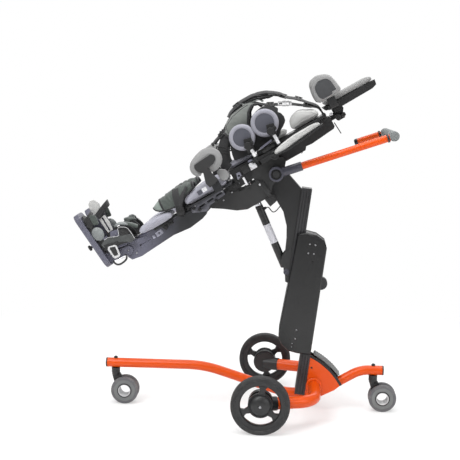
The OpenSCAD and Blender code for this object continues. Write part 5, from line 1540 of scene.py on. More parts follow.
def firm(bm, outline, y0, y1):
    """A small firm block (mm) with a low crown on its two flat sides."""
    middle = Vector((sum(x for x, _ in outline), sum(z for _, z in outline))) / len(outline)
    reach = max((Vector(p) - middle).length for p in outline)
    bmesh.ops.triangulate(bm, faces=[f for f in bm.faces if len(f.verts) > 4])
    bmesh.ops.subdivide_edges(bm, edges=[e for e in bm.edges if e.calc_length() > 8], cuts=3,
                              use_grid_fill=True)
    for v in bm.verts:
        away = (Vector((v.co.x, v.co.z)) - middle).length / reach
        if min(abs(v.co.y - y0), abs(v.co.y - y1)) < 0.5:
            v.co.y += (1 if v.co.y > (y0 + y1) / 2 else -1) * 2.4 * max(0.0, 1 - away * away)
    return as_mesh(bm, "firm_block")


def flat_below(n):
    return lambda co: Vector((co.x, co.y, max(co.z, n)))


MIDDLE_PADS = {
    "seat_cushion": ([(-149, 109), (-149, 124), (-44, 124), (-44, 109)], 6, 69, 104.4, PAD_GREY,
                     "support", ("seat_pad",), 4.5),
    "lower_back_cushion": ([(-21, 121), (-21, 135), (91, 135), (91, 121)], 6, 85, 116.9, PAD_WARM,
                           "support", ("back_pad",), 4.5),
    "shoulder_wedge": ([(107, 123), (106, 137), (117, 152), (138, 168), (152, 172), (218, 138),
                        (217, 123)], 7, 84, 117.6, PAD_WARM, "support", (), 5.0),
    "head_cushion": ([(240, 141), (241, 156), (431, 156), (432, 141)], 6, 82, 139.2, PAD_HEAD,
                     "head", ("headrest_pad",), 3.0),
}
for name, (outline, r, half, board, finish, body, replaced, cap) in MIDDLE_PADS.items():
    mesh = blown_up(prism(outline, r, -half, half, 5.5, 3), cap, flat_below(board), 4.0, 8)
    seams(name + "_seams", belts(mesh, outline, (0.03, 0.97)), BODY, body, finish, 1.0)
    cushion(name, mesh, finish, body, replaced)

THIGH = [(-333, 74), (-335, 90), (-318, 101), (-270, 108), (-212, 104), (-198, 92), (-170, 87),
         (-166, 74)]
BOLSTER = [(-184, 90), (-184, 125), (-175, 128), (-157, 117), (-154, 104), (-155, 90), (-166, 84)]
CALF = [(-523, 62), (-522, 77), (-506, 86), (-434, 90), (-390, 84), (-389, 64)]
HIP = [(-230, 146), (-236, 140), (-246, 140), (-257, 149), (-263, 165), (-260, 184), (-247, 200),
       (-223, 210), (-196, 217), (-173, 216), (-154, 208), (-140, 192), (-135, 173), (-140, 154),
       (-151, 140), (-171, 129), (-188, 127), (-200, 135), (-203, 160), (-225, 162)]
WING = [(233, 226), (245, 242), (266, 247), (299, 235), (310, 222), (316, 197), (321, 166),
        (315, 159), (252, 159), (234, 157), (227, 166), (227, 190)]
WING_FACE = [(245, 214), (264, 226), (287, 223), (300, 211), (304, 193), (305, 173), (290, 172),
             (287, 165), (262, 164), (249, 165), (241, 177), (240, 196)]
HIP_FACE = [(-224, 140), (-229, 151), (-242, 161), (-243, 174), (-233, 183), (-207, 186),
            (-183, 192), (-168, 189), (-159, 176), (-163, 162), (-178, 155), (-194, 152),
            (-202, 139)]
ARM = [(18, 87), (24, 94), (54, 102), (107, 109), (186, 111), (204, 105), (203, 99), (148, 92),
       (73, 84), (28, 82)]


def inside(outline, x, z):
    """True inside a closed outline."""
    hit = False
    for (x0, z0), (x1, z1) in zip(outline, outline[1:] + outline[:1]):
        if (z0 > z) != (z1 > z) and x < (x1 - x0) * (z - z0) / (z1 - z0) + x0:
            hit = not hit
    return hit


def sunken(outline, limit):
    """Holds the outer face inside the outline at y = -limit."""
    return lambda co: Vector((co.x, max(co.y, -limit), co.z)) if inside(outline, co.x, co.z) else co


def troughed(co):
    """Holds the arm pad's top to the trough of the forearm."""
    top = 185.0 - max(75.0 ** 2 - (co.y + 216.0) ** 2, 0) ** 0.5
    return Vector((co.x, co.y, min(co.z, top) if co.x > 30 else co.z))


SIDE_PADS = {
    "thigh_cushion": (THIGH, 7, (-138, -28), 7, 5.0, flat_below(67.4), PAD_GREY, "leg_{}",
                      "thigh_pad", (0.035, 0.965)),
    "thigh_bolster": (BOLSTER, 4, (-139, -95), 3, 0, None, PAD_SHADED, "leg_{}", None, (0.05, 0.95)),
    "calf_cushion": (CALF, 7, (-137, -53), 8, 5.0, flat_below(57.5), PAD_GREY, "leg_{}",
                     "calf_pad", (0.05, 0.95)),
    "hip_cushion": (HIP, 5, (-167, -149), 7, 5.0, sunken(HIP_FACE, 170.5), PAD_SHADED, "leg_{}",
                    "hip_pad", (0.5,)),
    "wing_cushion": (WING, 8, (-112, -94.5), 6, 3.0, sunken(WING_FACE, 111.2), PAD_SHADED, "wing_{}",
                     "wing", (0.5,)),
    "arm_cushion": (ARM, 4, (-246, -186), 5, 2.2, troughed, PAD_WARM, "arm_{}", "arm_support",
                    (0.04, 0.96)),
}
for name, (outline, r, (y0, y1), edge, cap, hold, finish, body, node, rows) in SIDE_PADS.items():
    block_shape = prism(outline, r, y0, y1, edge, 3)
    left = blown_up(block_shape, cap, hold) if cap else firm(block_shape, outline, y0, y1)
    laid = belts(left, outline, rows)
    for side, mesh in ((1, mirrored(left)), (-1, left)):
        where = SIDE_NAME[side]
        paths = laid if side < 0 else [[Vector((p.x, -p.y, p.z)) for p in row] for row in laid]
        seams(name + "_seams_" + where, paths, BODY, body.format(where), finish, 0.9)
        cushion(name + "_" + where, mesh, finish, body.format(where),
                (node + CAD_END[side],) if node else ())

# %% [markdown]
# The round trunk pads are a firm ring with a darker sunken face. The wings have such a face too,
# and the arm pads lie in a thin dark shell on a hinge barrel.

# %% Round trunk pads, panels and shells
def wavy(bm, size, scale, seed):
    """Small sewn unevenness."""
    for v in bm.verts:
        v.co += noise.noise_vector(v.co * scale + Vector((seed, 0, 0))) * size
    return bm


for side in (-1, 1):
    where = SIDE_NAME[side]
    body = "side_support_" + where
    pads, faces, rims = [], [], []
    around = [2 * pi * i / 60 for i in range(60)]
    for k, (s, n, r) in enumerate(LATERALS):
        seat = outward(s, n, 118.2, side)
        ring = [(0, 0), (r * 0.7, 0), (r * 0.88, 1.2), (r * 0.97, 5), (r, 11), (r, 17),
                (r * 0.985, 22), (r * 0.94, 26.4), (r * 0.87, 29), (r * 0.79, 29.6),
                (r * 0.73, 28.8), (r * 0.7, 27), (r * 0.69, 25.6), (0, 25.6)]
        pads.append((wavy(turned(ring, 72), 0.5, 0.03, k * 9.0), seat))
        faces.append((turned([(0, 25.8), (r * 0.69, 25.8), (r * 0.68, 27), (r * 0.6, 27.5),
                              (r * 0.3, 27.9), (0, 28)], 64), seat))
        rims += [[seat @ Vector((q * cos(a), q * sin(a), height)) for a in around]
                 for q, height in ((r * 0.7, 27.4), (r * 0.99, 14))]
    cushion("trunk_pads_" + where, pads, PAD_RING_SHADED, body, ("lateral_pads" + CAD_END[side],))
    cushion("trunk_pad_faces_" + where, faces, PANEL_BLUE, body, ())
    seams("trunk_pad_seams_" + where, rims, BODY, body, PAD_RING_SHADED, 0.8)

    face = cut_out(smooth_outline(grown(WING_FACE, -0.8), 4), -1.2, 0, 0.5)
    finish_piece("wing_face_" + where, face,
                 BODY @ upright(0, 0, side * 111.3 if side < 0 else 112.5), PANEL_GREY,
                 "wing_" + where)
    edge_path = [Vector((x, side * 112.9, z)) for x, z in smooth_outline(grown(WING_FACE, 0.6), 4)]
    seams("wing_face_seam_" + where, [edge_path], BODY, "wing_" + where, PAD_SHADED, 0.9)
    leaf = [(block(259, 289, -2, 2, 128, 158, 0.8), upright(0, 0, side * 103)),
            (pipe(3.1, 7, 0, 30, 32), along(259, side * 95, 128))]
    finish_piece("wing_leaf_" + where, leaf, BODY, PLASTIC, "wing_" + where)

    shell = prism([(9, 86), (20, 80), (74, 76.5), (141, 83.5), (208, 94), (209, 99), (141, 89),
                   (74, 82), (26, 84), (12, 92)], 1.5, -33, 33, 0.8)
    barrel = turned([(0, -11), (12.6, -11), (14, -9.6), (14, 9.6), (12.6, 11), (0, 11)], 40)
    finish_piece("arm_shell_" + where, [
        (shell, upright(0, 0, side * 216)), (barrel, across(20, 82, side * 216))],
        BODY, PLASTIC, "arm_" + where)

    for label, outline, finish in (
            ("thigh_patch_", [(-277, 83), (-277, 98), (-260, 99), (-260, 84)], PANEL_BLUE),
            ("thigh_label_", [(-258, 84.5), (-258, 99.5), (-241, 100), (-241, 86)], LABEL)):
        finish_piece(label + where, prism(outline, 1.5, -0.5, 0.5, 0.2),
                     BODY @ upright(0, 0, side * 142.6), finish, "leg_" + where)
print("cushions made")

# %% [markdown]
# ## Chest vest
# The vest is a padded cloth shell that arches over the chest. It is laid out flat first: how far
# round the arch a point is, and how far up the body. The arch then gives its place, and small
# folds run towards the corners where the straps pull.

# %% Vest
VEST_HALF, VEST_TOP, VEST_CORNER, VEST_FOOT, VEST_PAD = 105.5, 282.0, 60.0, 152.0, 6.0
VEST_ROWS, VEST_COLUMNS = 46, 96
VEST_RISE = [(-118, 176), (-112, 208), (-100, 238), (-75, 262), (-49, 275), (-12, 282), (27, 280),
             (48, 266), (60, 240), (66, 214)]
VEST_LOW = [(0, -110), (60, -104), (110, -96), (160, -80), (205, -64)]
VEST_HIGH = [(0, 24), (18, 30), (34, 50), (50, 55), (66, 50), (86, 26), (112, 4), (150, -14),
             (205, -24)]


def eased(table, x):
    """Smooth value between the (x, value) pairs of a table."""
    if x <= table[0][0]:
        return table[0][1]
    for (x0, a), (x1, b) in zip(table, table[1:]):
        if x <= x1:
            t = (x - x0) / (x1 - x0)
            return a + (b - a) * (t + 0.35 * (t * t * (3 - 2 * t) - t))
    return table[-1][1]


def arch(around):
    """Place (y, n) on the arch at a distance around it from the crown, and the way out."""
    a, sign = abs(around), (1 if around >= 0 else -1)
    flat = VEST_HALF - VEST_CORNER
    bend = VEST_CORNER * pi / 2
    if a < flat:
        y, n, out = a, VEST_TOP, (0, 1)
    elif a < flat + bend:
        t = (a - flat) / VEST_CORNER
        y, n, out = flat + VEST_CORNER * sin(t), VEST_TOP - VEST_CORNER * (1 - cos(t)), (sin(t),
                                                                                         cos(t))
    else:
        y, n, out = VEST_HALF, VEST_TOP - VEST_CORNER - (a - flat - bend), (1, 0)
    return y * sign, n, out[0] * sign, out[1]


def vest_place(s, around):
    y, n, oy, on = arch(around)
    drop = (VEST_TOP - eased(VEST_RISE, s)) * max(0.0,
                                                  (n - VEST_FOOT) / (VEST_TOP - VEST_FOOT)) ** 0.8
    fold = noise.noise(Vector((s * 0.022, around * 0.012, 3.1))) * 3.4
    pull = abs(noise.noise(Vector((s * 0.05 + around * 0.03, around * 0.018, 8.4)))) * 3.0
    ease = 0.4 + 0.6 * min(1, abs(around) / 60)
    out = Vector((0, oy, on)) * (fold - pull) * ease
    return Vector((s, y, n - drop)) + out - Vector((0, oy, on)) * 2.0


def vest_mesh():
    """The padded shell, and the line along the middle of its edge."""
    grid = []
    for j in range(VEST_ROWS + 1):
        line = []
        for i in range(VEST_COLUMNS + 1):
            around = -205 + 410 * i / VEST_COLUMNS
            low, high = eased(VEST_LOW, abs(around)), eased(VEST_HIGH, abs(around))
            line.append(vest_place(low + (high - low) * j / VEST_ROWS, around))
        grid.append(line)

    def lining(j, i):
        along_s = grid[min(j + 1, VEST_ROWS)][i] - grid[max(j - 1, 0)][i]
        round_a = grid[j][min(i + 1, VEST_COLUMNS)] - grid[j][max(i - 1, 0)]
        to_edge = min(j, VEST_ROWS - j, i, VEST_COLUMNS - i) / 3.0
        thick = VEST_PAD * (0.45 + 0.55 * min(1, to_edge))
        return grid[j][i] - along_s.cross(round_a).normalized() * thick

    inner = [[lining(j, i) for i in range(VEST_COLUMNS + 1)] for j in range(VEST_ROWS + 1)]
    bm, border = two_sided(grid, inner)
    return bm, [grid[j][i] + (inner[j][i] - grid[j][i]) * 0.5 for j, i in border]


vest_bm, vest_edge = vest_mesh()
vest = finish_piece("vest", vest_bm, BODY, VEST_CLOTH, "support", ("harness",), angle=radians(80))
finish_piece("vest_binding", sweep(vest_edge, flat_section(8.5, 5.6), (1, 0, 0), closed=True), BODY,
             BINDING, "support", angle=radians(70))


def vest_line(points, steps=40):
    """Path over the vest through (s, around) points, just above the cloth."""
    path = smooth_path([(s, a, 0) for s, a in points], steps // max(1, len(points) - 1))
    out = []
    for p in path:
        _, _, oy, on = arch(p.y)
        out.append(vest_place(p.x, p.y) + Vector((0, oy, on)) * 0.6)
    return out


quilts = [vest_line([(-98, a), (-40, a * 0.96), (e, a * 0.9)]) for a, e in
          ((-30, 26), (30, 26), (-84, 16), (84, 16))]
quilts.append(vest_line([(-84, -150), (-88, -80), (-94, 0), (-88, 80), (-84, 150)], 80))
seams("vest_seams", quilts, BODY, "support", BINDING, 0.8, closed=False)

# %% [markdown]
# Below the shell a dark sheet on each side closes the harness down to the support: painted shade
# under the vest.

# %% Painted shade under the vest
VEST_SHADE_OUTLINE = [(-116, 126), (-112, 150), (-104, 176), (-92, 196), (-60, 212), (-6, 226), (30, 240),
              (56, 244), (76, 236), (92, 223), (100, 211), (91, 200), (99, 193), (104, 176),
              (101, 160), (88, 150), (76, 143), (60, 127), (20, 121), (-60, 120)]
for side in (-1, 1):
    shade_sheet = prism(VEST_SHADE_OUTLINE, 7, 94.6, 98.2, 1.2, 2)
    bmesh.ops.triangulate(shade_sheet, faces=[f for f in shade_sheet.faces if len(f.verts) > 4])
    bmesh.ops.subdivide_edges(shade_sheet, edges=[e for e in shade_sheet.edges if e.calc_length() > 24], cuts=3,
                              use_grid_fill=True)
    for v in shade_sheet.verts:
        v.co.y = side * (v.co.y + noise.noise(v.co * 0.03) * 2.2 - max(0, v.co.z - 206) * 0.6)
    obj = finish_piece("harness_panel_" + SIDE_NAME[side], shade_sheet, BODY, BINDING, "support",
                       angle=radians(70))

# %% [markdown]
# ## Webbing and its buckles
# Each shoulder strap leaves the vest, runs back to the bar under the head support, and doubles
# back through a slide. The straps lie tilted, because they go over the slope of the shoulders.

# %% Straps and buckles
def frame_on(path, share, reference):
    """Local frame on a path: x along it, y across it, z out of it."""
    lengths = [0.0]
    for a, b in zip(path, path[1:]):
        lengths.append(lengths[-1] + (b - a).length)
    want = share * lengths[-1]
    k = next(i for i, l in enumerate(lengths) if l >= want and i)
    t = (path[k] - path[k - 1]).normalized()
    at = path[k - 1] + t * (want - lengths[k - 1])
    side = (Vector(reference) - t * Vector(reference).dot(t)).normalized()
    up = t.cross(side)
    if up.z < 0:
        side, up = -side, -up
    m = Matrix((t, side, up)).transposed().to_4x4()
    return Matrix.Translation(at) @ m


def slide(w, length=26, t=4.2):
    """Three-bar slide for a strap of width w."""
    half = w / 2 + 4.5
    parts = [
        block(-length / 2, length / 2, s * half - 2.2, s * half + 2.2, -t / 2, t / 2, 1.2)
        for s in (-1, 1)]
    for x in (-length / 2 + 2.2, 0, length / 2 - 2.2):
        parts.append(block(x - 2.2, x + 2.2, -half, half, -t / 2 + 0.4, t / 2 - 0.4, 1.2))
    return join_meshes(parts)


def side_release(w, length=54, t=10):
    """Side-release buckle: a waisted shell, its two prongs and the strap bars."""
    half = w / 2 + 6
    body = prism([(-length / 2 + 8, -half), (length * 0.12, -half), (length * 0.2, -half + 4),
                  (length * 0.3, -half), (length / 2, -half * 0.86), (length / 2, half * 0.86),
                  (length * 0.3, half), (length * 0.2, half - 4), (length * 0.12, half),
                  (-length / 2 + 8, half)], 3, -t / 2, t / 2, 2.0, 3)
    lie = Matrix.Rotation(radians(90), 4, "X")
    bars = [block(x - 2.2, x + 2.2, -w / 2 - 3, w / 2 + 3, -2.4, 2.4, 1.1)
            for x in (-length / 2 - 4, length / 2 + 5)]
    arms = [block(x0, x1, s * (w / 2 + 1) - 2, s * (w / 2 + 1) + 2, -2.4, 2.4, 1)
            for x0, x1 in ((-length / 2 - 5, -length / 2 + 12), (length / 2 - 4, length / 2 + 6))
            for s in (-1, 1)]
    return join_meshes([(body, lie)] + bars + arms)


TILT = radians(24)
STRAP_Y = 46.0
TOP_RUN = [(-66, 268), (-46, 280), (-9, 289), (36, 287.5), (80, 277), (118, 256), (150, 227),
           (176, 207), (200, 180), (221, 158), (228.5, 143), (230, 126), (230, 113)]
DOUBLED = [(-9, 293.5), (16, 295), (40, 294.5), (66, 288), (96, 274)]
TAIL = [(52, 291), (66, 290), (88, 283), (112, 268), (133, 252), (143, 238)]
LOW_RUN = [(40, 268), (58, 252), (76, 240), (100, 228), (128, 214), (150, 201), (178, 181),
           (204, 163), (222, 148), (227, 132), (228, 120)]
LOOP = [(-3, 291), (9, 281), (28, 277), (48, 276), (60, 270), (66, 258)]
webs, grey_webs, plastics, clips = [], [], [], []
for side in (-1, 1):
    tilt = Vector((0, cos(TILT), -side * sin(TILT)))
    wave = 0.7 if side < 0 else 2.9

    def run(points, y, drift, curl):
        """Smooth path with the slack waves that webbing has."""
        path = smooth_path([(s, y * side, n) for s, n in points], 9)
        out = []
        for i, p in enumerate(path):
            t = i / (len(path) - 1)
            sway = sin(t * 7.0 + wave) * curl
            out.append(p + Vector((0, side * drift * t + sway, sin(t * 11 + wave) * curl * 0.4)))
        return out

    top = run(TOP_RUN, STRAP_Y, 0, 2.0)
    top[-1].y = top[-2].y
    doubled = run(DOUBLED, STRAP_Y, 2, 1.0)
    tail = run(TAIL, STRAP_Y + 1, 7, 1.5)
    low = run(LOW_RUN, STRAP_Y + 14, -12, 2.0)
    loop = run(LOOP, STRAP_Y + 4, 5, 1.0)
    for path, w, t in ((top, 25, 2.2), (doubled, 25, 2.0), (tail, 25, 2.0), (low, 22, 2.2)):
        webs.append(strap(path, w, t, tilt))
    grey_webs.append(strap(loop, 20, 2.2, tilt))
    for path, share, w in ((top, 0.13, 25), (top, 0.29, 25), (top, 0.57, 25), (top, 0.71, 25),
                           (low, 0.22, 22), (low, 0.74, 22)):
        place = frame_on(path, share, tilt)
        plastics.append((slide(w), place @ Matrix.Translation((0, 0, 1.4))))
    plastics.append((side_release(25), frame_on(top, 0.385, tilt) @ Matrix.Translation((0, 0, -4))))
    clips.append(
        (side_release(20, 34, 7), frame_on(low, 0.42, tilt) @ Matrix.Translation((0, 0, 1.5))))
    plastics.append(block(224.6, 235.4, side * STRAP_Y - 15, side * STRAP_Y + 15, 108, 120, 2.5, 3))

# %% [markdown]
# The waist straps come off the vest's lower corners, pass a slide and end in a loose tail. A
# second strap goes down beside the hip pad to the seat, and a tab on each side holds the shell.

# %% Waist straps and side tabs
WAIST = [(-52, 262), (-72, 252), (-88, 240), (-104, 231), (-124, 225), (-142, 219), (-160, 211)]
DOWN = [(-90, 236), (-104, 216), (-120, 197), (-138, 175), (-150, 148), (-152, 128), (-146, 112)]
for side in (-1, 1):
    lean = Vector((0, 1, -0.5 * side))
    waist = smooth_path([(s, side * (66 + 0.05 * (s + 52)), n) for s, n in WAIST], 8)
    down = smooth_path([(s, side * y, n) for (s, n), y in zip(DOWN, (70, 76, 80, 82, 82, 80, 79))],
                       8)
    webs.append(strap(waist, 20, 2.4, lean))
    webs.append(strap(down, 34, 2.2, (0.9, 0, 0.45)))
    for path, share, w, ref in ((waist, 0.34, 20, lean), (waist, 0.6, 20, lean),
                                (down, 0.12, 34, (0.9, 0, 0.45)), (down, 0.5, 34, (0.9, 0, 0.45))):
        plastics.append((slide(w, 22, 5.0), frame_on(path, share, ref)))
    plastics.append((block(-3, 5, -11.5, 11.5, -2.6, 2.6, 1.2), frame_on(waist, 0.97, lean)))
    side_tab = smooth_path([(-47, side * 109.5, 196), (-47, side * 108.5, 176),
                            (-47, side * 107, 158), (-47, side * 104.5, 142), (-47, side * 99, 128),
                            (-47, side * 93, 119.5)], 7)
    webs.append(strap(side_tab, 30, 2.6, (1, 0, 0)))
    plastics.append((slide(30, 30, 4.6), frame_on(side_tab, 0.5, (1, 0, 0))))

finish_piece("harness_straps", webs, BODY, WEBBING, "support", turn=False, angle=radians(50))
finish_piece("harness_collar_loops", grey_webs, BODY, WEBBING_GREY, "support",
             turn=False, angle=radians(50))
finish_piece("harness_buckles", plastics, BODY, PLASTIC, "support", turn=False)
finish_piece("harness_clips", clips, BODY, PALE_PLASTIC, "support", turn=False)

# %% [markdown]
# ## Knee cups
# A folded cuff over each knee: a smooth nose towards the foot, whose paler cloth is a painted
# highlight, then dark cloth in pleats that gather towards the strap on its side, and a rolled
# opening towards the thigh.

# %% Knee cups
CUP = [(-442, 122, 117, 9), (-436, 126, 108.5, 21), (-424, 131, 101, 33), (-408, 137, 95, 42),
       (-388, 141.5, 91, 48), (-366, 144, 89, 51), (-344, 145.5, 90, 51), (-326, 146.5, 101, 50),
       (-308, 145, 109, 48), (-292, 141.5, 114, 45), (-281, 137.5, 116.5, 42)]
CUP_FROM, NOSE_TO, CUP_TO, CUP_COLUMNS = -442, -410, -281, 44
PLEAT_AT = (-352, 66)


def cup_place(s, t, off=0.0):
    """Place on the cup: s along, t from -1 to 1 across from rim to rim."""
    for k in range(len(CUP) - 1):
        if s <= CUP[k + 1][0] or k == len(CUP) - 2:
            (s0, t0, b0, w0), (s1, t1, b1, w1) = CUP[k], CUP[k + 1]
            f = (s - s0) / (s1 - s0)
            top, rim, wide = t0 + (t1 - t0) * f, b0 + (b1 - b0) * f, w0 + (w1 - w0) * f
            break
    a = t * pi / 2
    side = (abs(sin(a)) ** 0.82) * (1 if t >= 0 else -1)
    rise = max(cos(a), 0.0) ** 0.74
    wide, top = wide - off, top - off
    y, n = side * wide, rim + (top - rim) * rise
    turn = atan2(n - PLEAT_AT[1], s - PLEAT_AT[0])
    reach = min(1, hypot(n - PLEAT_AT[1], s - PLEAT_AT[0]) / 60)
    crease = 0.0
    if s > NOSE_TO + 4:
        wave = (turn * 4.4 + 0.4 * noise.noise(Vector((s * 0.03, t * 1.5, 2)))) % 1.0
        crease = (abs(wave - 0.5) * 2) ** 3 * 3.2 * reach * min(1, (s - NOSE_TO - 4) / 14)
    sag = noise.noise(Vector((s * 0.03, y * 0.03, 5.0))) * 1.2
    return Vector((s, y * (1 - crease / 60), n - crease * rise + sag * rise))


def cup_shell(s0, s1, thick, rows):
    """The part of the cup from s0 to s1."""
    places = [
        (s0 + (s1 - s0) * j / rows, [-1 + 2 * i / CUP_COLUMNS for i in range(CUP_COLUMNS + 1)])
        for j in range(rows + 1)]
    outer = [[cup_place(s, t) for t in line] for s, line in places]
    inner = [[cup_place(s, t, thick) - Vector((0, 0, 0.2)) for t in line] for s, line in places]
    return two_sided(outer, inner)[0]


def cup_path(s, lift):
    """Path over the cup from rim to rim."""
    out = []
    for i in range(41):
        p = cup_place(s, -1 + 2 * i / 40)
        out.append(p + Vector((0, (p.y / 52) * lift, lift)))
    return out


for side in (-1, 1):
    tag = "_" + SIDE_NAME[side]
    body = "leg" + tag
    leg = Matrix.Translation((0, side * 95, 0))
    cuff = finish_piece("knee_cuff" + tag, cup_shell(NOSE_TO, CUP_TO, 5, 60), BODY @ leg,
                        CUFF_CLOTH, body, ("knee_cup" + CAD_END[side],), angle=radians(60))
    nose = finish_piece("knee_nose" + tag, cup_shell(CUP_FROM, NOSE_TO, 4, 16), BODY @ leg,
                        NOSE_HIGHLIGHT_CLOTH, body, angle=radians(80))
    mouth = [cup_place(CUP_TO, -1 + 2 * i / 44, 2.5) for i in range(45)]
    finish_piece("knee_mouth" + tag, tube(mouth, 5.4, (1, 0, 0), 14), BODY @ leg, BINDING, body,
                 turn=False)
    trims = [(tube([cup_place(CUP_FROM + (CUP_TO - CUP_FROM) * i / 60, end, 2.0)
                    for i in range(61)], 3.2, (0, 0, 1), 12), leg) for end in (-1, 1)]
    trims.append((tube([cup_place(CUP_FROM, -1 + 2 * i / 24, 2.0) for i in range(25)], 3.2,
                       (1, 0, 0), 12), leg))
    trims.append((strap(cup_path(NOSE_TO + 1, 0.6), 7, 1.6, (1, 0, 0)), leg))
    finish_piece("knee_edges" + tag, trims, BODY, BINDING, body, turn=False)
    bands = []
    for end in (-1, 1):
        bands.append((strap(smooth_path([(-340, end * 30, 142), (-345, end * 45, 128),
                                         (-350, end * 53, 106), (-355, end * 54, 84),
                                         (-361, end * 53, 66), (-365, end * 52, 52)], 7), 25, 2.6,
                            (1, 0, 0)), leg))
        bands.append((strap(smooth_path([(-300, end * 44, 131), (-318, end * 50, 118),
                                         (-334, end * 54.5, 103), (-349, end * 56, 84),
                                         (-357, end * 55, 70)], 7), 15, 2.4, (1, 0, 0.4)), leg))
    finish_piece("knee_bands" + tag, bands, BODY, WEBBING, body, turn=False, angle=radians(50))
    hooks = []
    for end in (-1, 1):
        hooks.append((join_meshes([prism([(-14, -12), (10, -14), (15, -2), (12, 13), (-12, 14)], 4,
                                          -2.8, 2.8, 1.2, 2),
                                   (turned([(0, -4.5), (5.5, -4.5), (6.5, -3.4), (6.5, 3.4),
                                            (5.5, 4.5), (0, 4.5)], 28), across(1, 1, 0))]),
                      leg @ Matrix.Translation((-357, end * 57.2, 68)) @ Matrix.Rotation(
                          radians(12), 4, "Y")))
    finish_piece("knee_buckles" + tag, hooks, BODY, PLASTIC, body, turn=False)
print("harness made")

# %% [markdown]
# ## Sandals
# Local x is the height above the foot plate, z runs towards the toes. A pale speckled guard with
# a slot and a flap stand on the inner side. A heel cup, a toe pad, buckles and straps are outside.

# %% Sandals
SOLE = [(-33, 52), (-35, 80), (-33, 150), (-34, 176), (-26, 190), (-10, 197), (10, 197), (24, 190),
        (33, 172), (34, 140), (30, 100), (31, 70), (27, 54), (15, 49), (-15, 49)]
HEEL_UPPER = [(9, 50), (9, 86), (30, 88), (47, 86), (66, 101), (93, 96), (117, 82), (124, 58),
              (121, 32), (101, 30), (62, 44), (30, 46)]
HEEL_BAND = [(11, 64), (10, 79), (28, 85), (46, 85), (78, 70), (115, 55), (122, 42), (121, 31),
             (103, 28), (76, 48), (50, 57)]
HEEL_WINDOW = [(86, 88), (104, 82), (112, 66), (108, 52), (92, 60), (82, 70)]
OUTER_GUARD = [(50, 82), (62, 100), (90, 92), (86, 62), (70, 62)]
SLOTTED = [(2, 108), (3, 160), (35, 160), (36, 128), (30, 98), (8, 98)]
FLAP = [(0, 170), (-1, 204), (6, 224), (20, 232), (34, 226), (42, 206), (36, 182), (22, 172)]
TOE_EGG = [(0, 0), (8, 0), (16, 1.6), (21, 5), (20.5, 9), (17, 12.4), (10, 14.8), (0, 15.8)]


def sole_pad(side):
    """Flat pad between two heights, its outline seen from above."""
    outline = smooth_outline(SOLE, 4)
    return skinned([[(x, side * y * (1 + grow / 34), 123 + (z - 123) * (1 + grow / 74))
                     for y, z in outline]
                    for x, grow in ((0.6, -2.0), (1.6, 0), (6.2, 0), (8.0, -2.5))])


def arch_over(side, x_top, z0, z1, half, lean):
    """Path of a strap over the foot from one side to the other."""
    out = []
    for i in range(25):
        a = pi * i / 24
        rise = sin(a) ** 0.7
        out.append(Vector((8 + (x_top - 8) * rise, -side * half * cos(a),
                           z0 + (z1 - z0) * i / 24 + lean * rise)))
    return out


